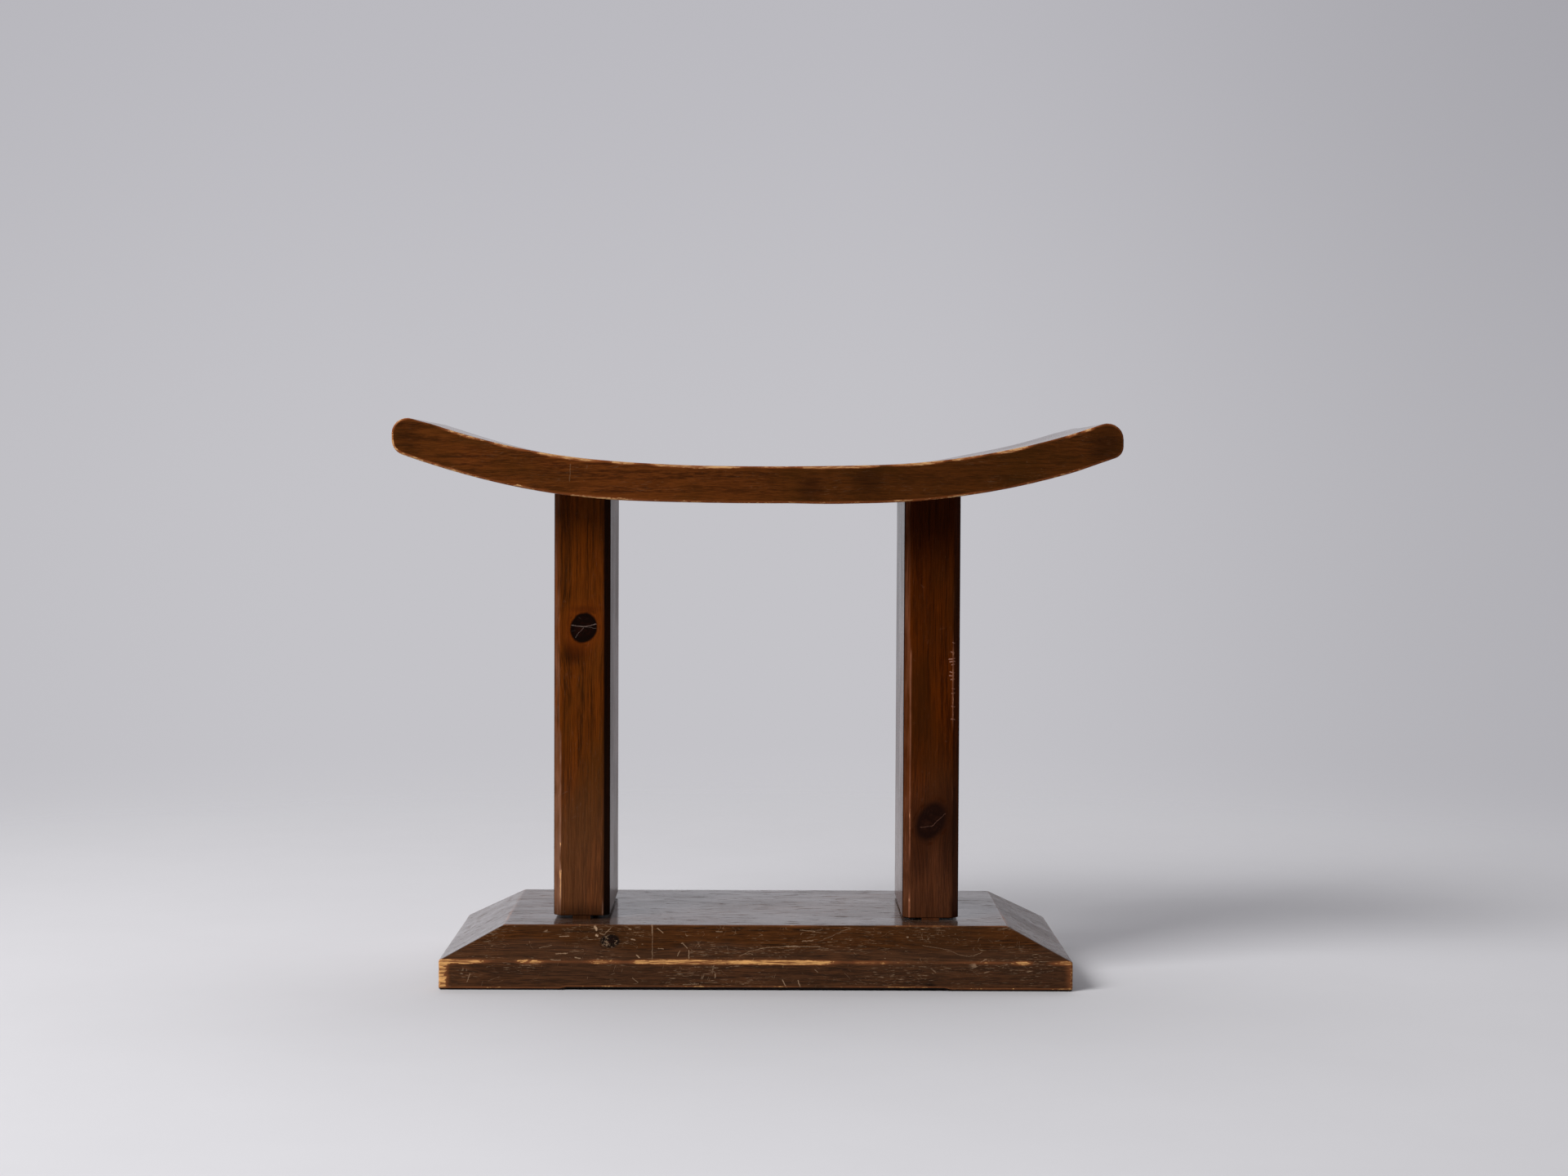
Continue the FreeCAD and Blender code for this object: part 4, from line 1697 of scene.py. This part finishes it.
@dataclass
class Base:
    """The base plank with bevels on all sides and a hollowed underside, in millimetres."""

    length: float = 488.0
    depth: float = 230.0
    height: float = 47.5
    edge_height: float = 22.5
    end_bevel: float = 49.0
    side_bevel: float = 21.0
    relief: float = 1.5
    relief_flat: float = 145.0
    relief_end: float = 151.0
    relief_fade: float = 8.0
    corner_round: float = 1.4
    near_gaps: tuple[float, ...] = (1.2, 3.0, 6.0)
    line_step: float = 4.0
    line_room: float = 1.5
    deep_step: float = 9.0
    deep_room: float = 3.0
    held_x: float = 152.0
    held_y: float = 70.0
    sway: float = 0.22
    sway_scale: float = 0.02
    sway_lift: float = 0.2
    sink_share: float = 0.5
    rub_swing: float = 0.18
    long_side_share: float = 0.98
    corner_rise: float = 1.2
    chips: Chipping = Chipping(0.5, 1.4, 0.17)
    tenon: Tenon = Tenon()
    edge_wear: tuple[Stretch, ...] = (
        Stretch(-262.0, -203.0, 0.92),
        Stretch(-190.0, -158.0, 0.71),
        Stretch(-133.0, -105.0, 0.78),
        Stretch(-99.0, -78.0, 0.84),
        Stretch(-90.0, 66.0, 0.92),
        Stretch(66.0, 112.0, 0.62),
        Stretch(196.0, 215.0, 0.8),
        Stretch(228.0, 262.0, 0.92),
    )
    corner_wear: tuple[float, float, float, float] = (1.05, 0.64, 0.64, 0.6)
    corner_reach: float = 14.0

    def hollow(self, x: float) -> float:
        """Give how far the underside stands off the floor."""
        share = (self.relief_end - abs(x)) / (self.relief_end - self.relief_flat)
        return self.relief * min(max(share, 0.0), 1.0)

    def levels(self) -> list[Level]:
        """Lay out the plank's rings from the floor up.

        Returns:
            The levels.
        """
        arris, top, rise = self.edge_height, self.height, self.height - self.edge_height
        rows = [
            # The two lowest rings are painted dark all round: a painted contact shadow along the floor.
            Level(0.0, 1.3, 1.3, Edge.FLOOR, -1.0),
            Level(1.1, 0.4, 0.4, Edge.FLOOR, -1.0),
            Level(1.6, 0.1, 0.1, Edge.LOW, 0.9),
        ]
        for z, weight in ((2.2, 1.0), (3.1, 0.6), (4.6, 0.0)):
            rows.append(Level(z, 0.0, 0.0, Edge.LOW, weight))
        rows += [Level(8.0), Level(12.5)]
        for down, weight in ((6.5, 0.0), (4.2, 0.15), (2.8, 0.45), (1.8, 0.75), (0.9, 1.0)):
            rows.append(Level(arris - down, 0.0, 0.0, Edge.ARRIS, weight))
        rows.append(Level(arris - 0.25, 0.12, 0.12, Edge.ARRIS, 1.0))
        near_arris = ((0.6, 0.9), (1.5, 0.45), (2.6, 0.15), (4.2, 0.0))
        bevel = [(up, Edge.ARRIS, weight) for up, weight in near_arris]
        bevel += [(up, Edge.NONE, 0.0) for up in (8.0, 14.0, 20.0)]
        bevel += [(22.0, Edge.TOP, 0.1), (23.6, Edge.TOP, 0.6)]
        for up, edge, weight in bevel:
            lowered = 0.1 if up < 1.0 else 0.0
            inset_x, inset_y = self.end_bevel * up / rise, self.side_bevel * up / rise
            rows.append(Level(arris + up - lowered, inset_x, inset_y, edge, weight))
        rows.append(Level(top - 0.25, self.end_bevel * 0.992, self.side_bevel * 0.99, Edge.TOP, 1.0))
        for past, weight in ((0.5, 0.9), (2.0, 0.2)):
            rows.append(Level(top, self.end_bevel + past, self.side_bevel + past, Edge.TOP, weight))
        return rows

    def plan(self, level: Level) -> Block:
        """Lay out the plan of one level.

        Args:
            level: The level.

        Returns:
            The block that its ring is built from.
        """
        half_length, half_depth = self.length / 2, self.depth / 2
        run_x, run_y = half_length - self.corner_round, half_depth - self.corner_round
        near_x = both_ways([*(run_x - gap for gap in self.near_gaps), self.relief_flat, self.relief_end])
        near_y = both_ways([run_y - gap for gap in self.near_gaps])
        across = lines(-run_x, run_x, self.line_step, [*near_x, *self.tenon.edges_x()], self.line_room)
        deep = lines(-run_y, run_y, self.deep_step, [*near_y, *self.tenon.edges_y()], self.deep_room)
        turns = (math.radians(30.0), math.radians(60.0))
        round_off = self.corner_round
        return Block(
            half_length - level.inset_x,
            half_depth - level.inset_y,
            [drawn_in(line, self.held_x, run_x, level.inset_x) for line in across],
            [drawn_in(line, self.held_y, run_y, level.inset_y) for line in deep],
            [(round_off * (1 - math.sin(turn)), round_off * (1 - math.cos(turn))) for turn in turns],
        )

    def rub(self, level: Level, x: float, y: float, z: float) -> float:
        """Give the rubbing at a place on one of the plank's edges; on the floor rings it is below zero, a
        painted contact shadow.

        Args:
            level: The level that the place belongs to.
            x: Place along the plank.
            y: Place through its depth.
            z: Height.

        Returns:
            The rubbing there.
        """
        half_length, half_depth = self.length / 2, self.depth / 2
        on_long_side = abs(y) / half_depth > abs(x) / half_length * self.long_side_share
        worn = level.edge.value
        if level.edge is not Edge.NONE:
            # Each side reads a row of its own from the unevenness.
            along = x if on_long_side else y + 300.0
            worn = drifting(worn, self.rub_swing, along, 30.0 * (y > 0), z)
        if level.edge is Edge.ARRIS and on_long_side and y < 0.0:
            worn = rubbed(self.edge_wear, x, worn)
        result = worn * level.weight
        if level.edge is not Edge.FLOOR and z < self.edge_height + self.corner_rise:
            for corner, strength in zip(Corner, self.corner_wear):
                way_x, way_y = corner.value
                away = math.hypot(half_length - way_x * x, half_depth - way_y * y)
                result = max(result, strength * max(0.0, 1.0 - away / self.corner_reach))
        return result

    def placed(self, level: Level, x: float, y: float) -> tuple[Point, float]:
        """Place one point of a level.

        Args:
            level: The level.
            x: Place along the plank.
            y: Place through its depth.

        Returns:
            The point's place and rubbing, which below zero is painted shade.
        """
        z = level.height + self.hollow(x) * max(0.0, 1.0 - level.height / self.relief_fade)
        rub = self.rub(level, x, y, z)
        pull, sink = self.chips.at(rub, x, y, z), 0.0
        if level.edge in {Edge.ARRIS, Edge.TOP}:
            pull = max(0.0, pull + self.sway * ragged(x, y, z * self.sway_lift, self.sway_scale))
            sink = pull * self.sink_share
        return (x * (1 - pull / (self.length / 2)), y * (1 - pull / (self.depth / 2)), z - sink), rub

    def build(self, material: bpy.types.Material) -> bpy.types.Object:
        """Build the plank's mesh.

        Args:
            material: Its finish.

        Returns:
            The base.
        """
        skin = Skin()
        levels = self.levels()
        blocks = [self.plan(level) for level in levels]
        rings = [block.ring(skin, partial(self.placed, level)) for block, level in zip(blocks, levels)]
        skin.stack(rings)
        low_cells = blocks[0].cap(skin, rings[0], lambda x, y: (x, y, self.hollow(x)))
        top_cells = blocks[-1].cap(skin, rings[-1], lambda x, y: (x, y, self.height))
        mortises, top_faces = self.tenon.parted(skin, top_cells)
        skin.faces += self.tenon.parted(skin, low_cells)[1] + top_faces
        skin.extrude(mortises, lambda place: (*place[:2], self.hollow(place[0])))
        return skin.piece("bevelled_base", material)


SEAT_FINISH = StainedPine(
    "seat stained pine",
    GrainRun.ALONG,
    seed=1.0,
    deep=tone(64, 30, 8),
    body=tone(106, 55, 20),
    glow=tone(120, 62, 20),
    blotch=tone(66, 38, 9),
    thin=tone(138, 76, 40),
    bare=tone(222, 172, 116),
    shift=StainShift(tone(56, 30, 6), -130.0, 110.0, 0.45),
    shortness=2.2,
    dashing=0.2,
    smudges=(
        Smudge((40.7, -112.0, 386.0), (9.0, 20.0, 8.0), 0.4),
        Smudge((85.0, -112.0, 393.0), (11.0, 20.0, 9.0), 0.4),
        Smudge((-268.0, -112.0, 424.0), (9.0, 20.0, 14.0), 0.3),
        Smudge((266.0, -112.0, 420.0), (11.0, 20.0, 14.0), 0.4),
    ),
    scratches=(ScratchPath(((-143.4, 404.0), (-143.8, 391.0)), 0.8, 0.22),),
    front=-100.0,
    scratching=0.15,
    dulling=0.0,
    kept_gloss=0.8,
)
BEVEL_CHIPS = (
    ScratchPath(((-124.6, 45.8), (-123.6, 44.4)), 1.8, 0.95),
    ScratchPath(((-123.5, 40.4), (-122.5, 39.8)), 1.5, 0.95),
    ScratchPath(((-120.8, 41.6), (-117.2, 40.5), (-112.4, 45.4)), 0.5, 0.5),
    ScratchPath(((-98.4, 44.6), (-97.0, 44.5)), 0.8, 0.55),
    ScratchPath(((-96.4, 37.6), (-93.4, 37.0)), 0.7, 0.65),
    ScratchPath(((-91.6, 26.6), (-89.8, 25.2)), 0.8, 0.8),
    ScratchPath(((-139.0, 25.0), (-135.0, 24.4)), 0.7, 0.65),
    ScratchPath(((-151.4, 39.1), (-144.5, 39.5)), 0.6, 0.55),
    ScratchPath(((-153.9, 27.4), (-145.1, 28.1)), 0.6, 0.6),
    ScratchPath(((-157.6, 23.5), (-150.0, 23.1)), 0.55, 0.55),
    ScratchPath(((-57.4, 34.8), (-56.4, 35.0)), 0.8, 0.6),
    ScratchPath(((116.6, 39.5), (117.6, 39.7)), 0.7, 0.6),
)
BEVEL_SCRATCHES = (
    ScratchPath(((-167.0, 31.2), (-157.6, 33.4)), 0.4, 0.35),
    ScratchPath(((-31.0, 43.2), (-26.4, 43.0)), 0.6, 0.4),
    ScratchPath(((-80.6, 47.2), (-80.1, 42.1)), 1.0, 0.55),
    ScratchPath(((-80.1, 42.1), (-79.6, 23.2)), 0.4, 0.45),
    ScratchPath(((-76.3, 45.0), (-72.0, 42.1)), 0.65, 0.55),
    ScratchPath(((-75.2, 31.3), (-70.8, 30.7)), 0.5, 0.5),
    ScratchPath(((-58.5, 29.7), (-60.2, 26.3)), 0.6, 0.55),
    ScratchPath(((-51.9, 30.2), (-51.3, 24.7)), 0.6, 0.65),
    ScratchPath(((-56.0, 34.4), (-53.0, 31.8)), 0.6, 0.5),
    ScratchPath(((-12.9, 26.2), (-5.0, 29.6), (6.0, 31.8), (23.3, 33.0)), 0.4, 0.4),
    ScratchPath(((23.3, 33.0), (31.8, 33.0)), 0.8, 0.6),
    ScratchPath(((31.8, 33.0), (49.3, 32.9)), 0.45, 0.45),
    ScratchPath(((35.9, 36.4), (44.4, 37.1)), 0.75, 0.4),
    ScratchPath(((52.5, 37.8), (66.0, 43.1)), 0.4, 0.3),
    ScratchPath(((34.4, 44.1), (45.5, 43.4)), 0.5, 0.45),
    ScratchPath(((128.9, 33.9), (147.7, 31.2), (155.7, 28.0), (162.0, 26.7)), 0.35, 0.25),
    ScratchPath(((162.0, 26.7), (168.3, 26.8), (174.7, 29.5)), 0.4, 0.3),
    ScratchPath(((177.3, 24.9), (172.9, 22.3)), 0.6, 0.6),
)
FACE_SCRATCHES = (
    ScratchPath(((-221.6, 6.2), (-219.5, 12.7)), 0.6, 0.5),
    ScratchPath(((-94.6, 9.5), (-90.5, 6.2)), 0.6, 0.45),
    ScratchPath(((-56.0, 4.7), (-44.0, 5.3)), 0.5, 0.5),
    ScratchPath(((20.6, 8.4), (23.6, 2.6)), 0.75, 0.7),
    ScratchPath(((32.4, 8.4), (34.2, 3.2)), 0.75, 0.65),
    ScratchPath(((-31.1, 12.9), (-31.3, 9.8)), 0.75, 0.5),
)
BASE_FINISH = StainedPine(
    "base stained pine",
    GrainRun.ALONG,
    seed=2.0,
    deep=tone(30, 16, 6),
    body=tone(85, 48, 20),
    glow=tone(88, 49, 18),
    blotch=tone(60, 36, 18),
    thin=tone(124, 74, 44),
    bare=tone(232, 174, 108),
    knot_tone=tone(20, 12, 8),
    scratch_tone=tone(178, 146, 116),
    knots=(Knot((-112.6, -104.0, 36.4), (7.6, 14.0, 4.8), softness=0.2, halo=0.0, flakes=0.45),),
    scratches=(*BEVEL_CHIPS, *BEVEL_SCRATCHES, *FACE_SCRATCHES),
    front=-93.0,
    smudges=(
        Smudge((134.2, -115.0, 3.0), (4.0, 10.0, 3.6), 0.8),
        # Painted shade: the base top under the front of each leg, in the gap below it.
        Smudge((-137.0, -55.0, 47.5), (15.0, 7.0, 3.0), 0.95),
        Smudge((137.0, -55.0, 47.5), (15.0, 7.0, 3.0), 0.95),
    ),
    haze=Haze(tone(90, 62, 45), 32.0, 0.42),
    shortness=1.4,
    scratching=0.45,
    flecking=0.8,
    dashing=0.8,
    scuffing=0.9,
    dust=0.06,
    gloss_rough=0.1,
    kept_gloss=0.86,
    lacquer_index=1.12,
)
LEFT_LEG_FINISH = StainedPine(
    "left leg stained pine",
    GrainRun.UPRIGHT,
    seed=3.0,
    deep=tone(54, 24, 3),
    body=tone(100, 48, 8),
    glow=tone(120, 56, 8),
    blotch=tone(76, 43, 12),
    thin=tone(148, 106, 84),
    bare=tone(222, 164, 110),
    knots=(Knot((-135.8, -67.0, 276.4), (10.4, 40.0, 12.1), lean=20.0),),
    smudges=(
        Smudge((-143.0, -67.0, 257.0), (9.0, 40.0, 8.0), 0.7),
        # Painted shade: a faint dark strip at the top left of the leg, under the seat.
        Smudge((-152.0, -67.0, 345.0), (6.0, 40.0, 50.0), 0.15),
        Smudge((-134.0, -67.0, 290.8), (9.5, 40.0, 2.6), 0.6),
        # Darker at the foot of the leg, just above the base.
        Smudge((-137.0, -67.0, 48.0), (30.0, 40.0, 9.0), 0.6),
    ),
    haze=Haze(tone(122, 80, 54), 130.0, 0.4, 60.0),
    knot_tone=tone(15, 5, 2),
    heart_tone=tone(46, 16, 8),
    scratch_tone=tone(176, 150, 138),
    scratches=(
        ScratchPath(((-145.1, 278.3), (-135.2, 277.3), (-125.8, 279.2)), 0.5, 0.42),
        ScratchPath(((-135.5, 276.9), (-142.2, 268.9)), 0.3, 0.3),
        ScratchPath(((-134.9, 277.3), (-126.0, 276.0)), 0.25, 0.25),
    ),
    flecking=0.3,
    scratching=0.05,
    dashing=0.06,
    gloss_rough=0.28,
    kept_gloss=0.25,
)
RIGHT_ARRIS_TEETH = (
    ScratchPath(((152.6, 266.5), (154.4, 265.5)), 0.7, 0.6),
    ScratchPath(((152.0, 258.5), (154.5, 257.8)), 0.7, 0.6),
    ScratchPath(((150.4, 253.0), (154.5, 253.6)), 0.9, 0.75),
    ScratchPath(((151.0, 250.8), (154.6, 251.4)), 0.9, 0.75),
    ScratchPath(((152.2, 248.8), (154.6, 249.0)), 0.8, 0.7),
    ScratchPath(((151.2, 243.0), (154.2, 242.2)), 0.8, 0.7),
    ScratchPath(((150.8, 240.0), (154.0, 239.8)), 0.9, 0.7),
    ScratchPath(((151.8, 237.0), (154.4, 237.4)), 0.8, 0.7),
    ScratchPath(((153.0, 230.0), (154.8, 229.6)), 0.8, 0.6),
    ScratchPath(((152.6, 226.0), (154.8, 226.4)), 0.8, 0.6),
    ScratchPath(((152.8, 216.0), (154.9, 215.6)), 0.8, 0.6),
    ScratchPath(((152.4, 206.0), (154.9, 205.6)), 0.8, 0.6),
)
RIGHT_LEG_FINISH = StainedPine(
    "right leg stained pine",
    GrainRun.UPRIGHT,
    seed=4.0,
    deep=tone(48, 16, 1),
    body=tone(84, 35, 3),
    glow=tone(100, 44, 4),
    blotch=tone(58, 29, 7),
    thin=tone(142, 88, 62),
    bare=tone(204, 146, 108),
    knot_tone=tone(30, 14, 9),
    heart_tone=tone(54, 28, 18),
    halo_tone=tone(52, 24, 10),
    scratch_tone=tone(190, 138, 116),
    knots=(Knot((136.9, -67.0, 125.3), (10.8, 40.0, 16.2), lean=28.0, softness=0.25, halo=0.5),),
    smudges=(
        Smudge((150.5, -67.0, 116.0), (7.0, 40.0, 32.0), 0.6),
        Smudge((128.0, -67.0, 96.0), (8.0, 40.0, 14.0), 0.45),
    ),
    haze=Haze(tone(104, 68, 48), 130.0, 0.44, 70.0),
    scratches=(
        ScratchPath(((128.6, 120.8), (137.6, 121.8), (148.4, 131.8)), 0.4, 0.2),
        *RIGHT_ARRIS_TEETH,
    ),
    # Painted shade: the leg is painted darker towards its head, under the seat.
    shift=StainShift(tone(34, 8, 1), 300.0, 370.0, 0.5),
    flecking=0.3,
    scratching=0.05,
    dashing=0.06,
    gloss_rough=0.18,
    kept_gloss=0.5,
    lacquer_index=1.07,
)
WEDGE_FINISH = StainedPine(
    "wedge stained pine",
    GrainRun.UPRIGHT,
    seed=5.0,
    deep=tone(52, 28, 12),
    body=tone(84, 46, 18),
    glow=tone(98, 54, 20),
    blotch=tone(66, 38, 16),
    thin=tone(130, 78, 42),
    bare=tone(206, 152, 100),
)

LEFT_LEG_WEAR = {
    Corner.LEFT_FRONT: (Stretch(50.0, 96.0, 0.68), Stretch(90.0, 200.0, 0.5)),
    Corner.RIGHT_FRONT: (Stretch(46.0, 66.0, 0.6),),
}
# Below zero is painted shade on those chamfers; above zero is rubbing.
LEFT_LEG_CHAMFERS = {
    Corner.LEFT_FRONT: (0.43, 0.35),
    Corner.RIGHT_FRONT: (-0.7, -0.7),
    Corner.RIGHT_BACK: (-0.4, -0.4),
    Corner.LEFT_BACK: (-0.2, -0.2),
}
RIGHT_LEG_WEAR = {
    Corner.LEFT_FRONT: (Stretch(44.0, 75.0, 0.64), Stretch(80.0, 270.0, 0.5)),
    Corner.RIGHT_FRONT: (Stretch(196.0, 272.0, 0.56),),
}
# Below zero is painted shade on those chamfers; above zero is rubbing.
RIGHT_LEG_CHAMFERS = {
    Corner.LEFT_FRONT: (0.34, 0.42),
    Corner.RIGHT_FRONT: (0.12, 0.24),
    Corner.RIGHT_BACK: (-0.4, -0.4),
    Corner.LEFT_BACK: (-0.2, -0.2),
}


@dataclass(frozen=True)
class Lamp:
    """A soft square lamp: its name, where it hangs and how long its sides are in metres, and its power."""

    name: str
    place: Point
    size: float
    power: float

    def hang(self, target: Point) -> None:
        """Hang the lamp so that it looks at a target.

        Args:
            target: The place that it looks at.
        """
        light = bpy.data.lights.new(self.name, "AREA")
        light.shape = "SQUARE"
        light.size = self.size
        light.energy = self.power
        made = in_scene(self.name, light)
        made.location = self.place
        made.rotation_euler = (Vector(target) - Vector(self.place)).to_track_quat("-Z", "Y").to_euler()


@dataclass
class Studio:
    """The pale floor, the soft lamps and the light of the room, in metres."""

    floor_radius: float = 2.6
    floor_sides: int = 96
    floor_fade: Spot = (0.55, 1.7)
    floor_tone: Colour = tone(220, 219, 222)
    floor_fibres: Point = (9.0, 9.0, 9.0)
    fibre_share: float = 0.04
    backdrop_low: Colour = tone(196, 195, 200)
    backdrop_high: Colour = tone(186, 185, 191)
    backdrop_rise: Spot = (-0.02, 0.2)
    backdrop_foot: Colour = tone(209, 208, 212)
    foot_rise: Spot = (-0.15, -0.09)
    # The darker colour painted over the backdrop's sides as shade.
    backdrop_edge: Colour = tone(150, 149, 155)
    right_run: Spot = (0.02, 0.32)
    right_shares: Spot = (0.48, 0.62)
    left_run: Spot = (-0.32, -0.14)
    left_share: float = 0.1
    backdrop_start: Spot = (-0.1, 0.45)
    room_dark: Colour = tone(40, 40, 42)
    lamp_target: Point = (0.0, 0.0, 0.2)
    lamps: tuple[Lamp, ...] = (
        Lamp("key_softbox", (-2.52, -2.13, 2.52), 1.95, 155.0),
        Lamp("overhead_softbox", (0.3, 1.6, 3.1), 3.5, 40.0),
    )

    def build(self) -> None:
        """Set up the floor, the lamps, the room and the view transform."""
        self.floor()
        for lamp in self.lamps:
            lamp.hang(self.lamp_target)
        self.room()
        bpy.context.scene.view_settings.view_transform = "Standard"

    def floor(self) -> bpy.types.Object:
        """Build the floor, which fades into the backdrop away from the stool.

        Returns:
            The floor.
        """
        mesh = bpy.data.meshes.new("paper_floor")
        shape = bmesh.new()
        bmesh.ops.create_circle(shape, cap_ends=True, radius=self.floor_radius, segments=self.floor_sides)
        shape.to_mesh(mesh)
        shape.free()
        material = bpy.data.materials.new("paper floor")
        bench = NodeBench.cleared(material)
        place = bench.put("ShaderNodeTexCoord").outputs["Object"]
        fibre = bench.times(bench.cloud(place, self.floor_fibres, 3.0), self.fibre_share)
        paper = bench.put("ShaderNodeBsdfDiffuse")
        bench.feed_all(paper, Color=bench.tint(fibre, self.floor_tone, self.room_dark))
        clear = bench.put("ShaderNodeBsdfTransparent")
        away = bench.fade(bench.vector("LENGTH", place), *self.floor_fade)
        blend = bench.put("ShaderNodeMixShader")
        for socket, value in zip(blend.inputs, (away, paper.outputs[0], clear.outputs[0])):
            bench.feed(socket, value)
        bench.feed_all(bench.put("ShaderNodeOutputMaterial"), Surface=blend.outputs[0])
        mesh.materials.append(material)
        return in_scene("paper_floor", mesh)

    def room(self) -> None:
        """Build the room: a pale backdrop behind the stool and a dark room in front of it."""
        world = bpy.data.worlds.new("studio")
        bench = NodeBench.cleared(world)
        parts = bench.parts(bench.put("ShaderNodeTexCoord").outputs["Generated"])
        across, deep, up = parts["X"], parts["Y"], parts["Z"]
        # The backdrop is painted paler at its foot and darker higher up, as light falls off on it.
        backdrop = bench.tint(bench.fade(up, *self.backdrop_rise), self.backdrop_low, self.backdrop_high)
        backdrop = bench.tint(bench.fade(up, *self.foot_rise, 1.0, 0.0), backdrop, self.backdrop_foot)
        # Painted shade: the backdrop darkens towards the right, more so higher up, and a little towards the
        # left.
        shares = bench.fade(up, *self.backdrop_rise, *self.right_shares)
        rightward = bench.times(bench.fade(across, *self.right_run), shares)
        leftward = bench.fade(across, *self.left_run, self.left_share, 0.0)
        backdrop = bench.tint(bench.math("ADD", rightward, leftward), backdrop, self.backdrop_edge)
        shown = bench.fade(deep, *self.backdrop_start)
        path = bench.put("ShaderNodeLightPath").outputs
        for ray in ("Is Camera Ray", "Is Glossy Ray", "Is Transmission Ray"):
            shown = bench.math("MAXIMUM", shown, path[ray])
        background = bench.put("ShaderNodeBackground")
        bench.feed_all(background, Color=bench.tint(shown, self.room_dark, backdrop))
        bench.feed_all(bench.put("ShaderNodeOutputWorld"), Surface=background.outputs[0])
        bpy.context.scene.world = world


@dataclass
class PhotoCamera:
    """The camera at the photograph's place in metres, with its sensor in millimetres and its turns."""

    focal_pixels: float = 3424.6
    image_width: float = 1920.0
    sensor_width: float = 36.0
    place: Point = (0.0035, -2.2521, 0.3888)
    turned_right: float = 0.453
    tilted_down: float = 2.112
    rolled: float = 0.258

    def build(self) -> None:
        """Set the camera up and make it the scene's own."""
        camera = bpy.data.cameras.new("photo_camera")
        camera.sensor_fit = "HORIZONTAL"
        camera.sensor_width = self.sensor_width
        camera.lens = self.focal_pixels / self.image_width * self.sensor_width
        made = in_scene("photo_camera", camera)
        turn = Matrix.Rotation(math.radians(-self.turned_right), 4, "Z")
        tilt = Matrix.Rotation(math.radians(90.0 - self.tilted_down), 4, "X")
        roll = Matrix.Rotation(math.radians(self.rolled), 4, "Z")
        made.matrix_world = Matrix.Translation(self.place) @ turn @ tilt @ roll
        bpy.context.scene.camera = made


def stand_for(piece: bpy.types.Object, node: str) -> None:
    """Let a piece stand for its CAD node.

    Args:
        piece: The dressed piece.
        node: The CAD node that it replaces.
    """
    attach(piece, BODY)
    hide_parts(node)
    LOG.info("%s stands for %s with %d faces", piece.name, node, len(piece.data.polygons))


def main() -> None:
    """Build the stool's pieces, its studio and its camera in order."""
    logging.basicConfig(level=logging.INFO, format="%(message)s")
    effects = Effects()
    seat = Seat()
    stand_for(seat.build(SEAT_FINISH.material(effects)), "seat")
    stand_for(Base().build(BASE_FINISH.material(effects)), "base")
    left_leg = Leg(Side.LEFT, seat, shoulder=50.3, wear=LEFT_LEG_WEAR, chamfer_rub=LEFT_LEG_CHAMFERS)
    stand_for(left_leg.build(LEFT_LEG_FINISH.material(effects)), "left_leg")
    right_leg = Leg(Side.RIGHT, seat, shoulder=49.2, wear=RIGHT_LEG_WEAR, chamfer_rub=RIGHT_LEG_CHAMFERS)
    stand_for(right_leg.build(RIGHT_LEG_FINISH.material(effects)), "right_leg")
    wedge_material = WEDGE_FINISH.material(effects)
    for name, node in sorted(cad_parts.items()):
        if name.endswith("_wedge"):
            for slot in node.material_slots:
                slot.material = wedge_material
            LOG.info("%s keeps its CAD shape", name)
    Studio().build()
    PhotoCamera().build()


if __name__ == "__main__":
    main()
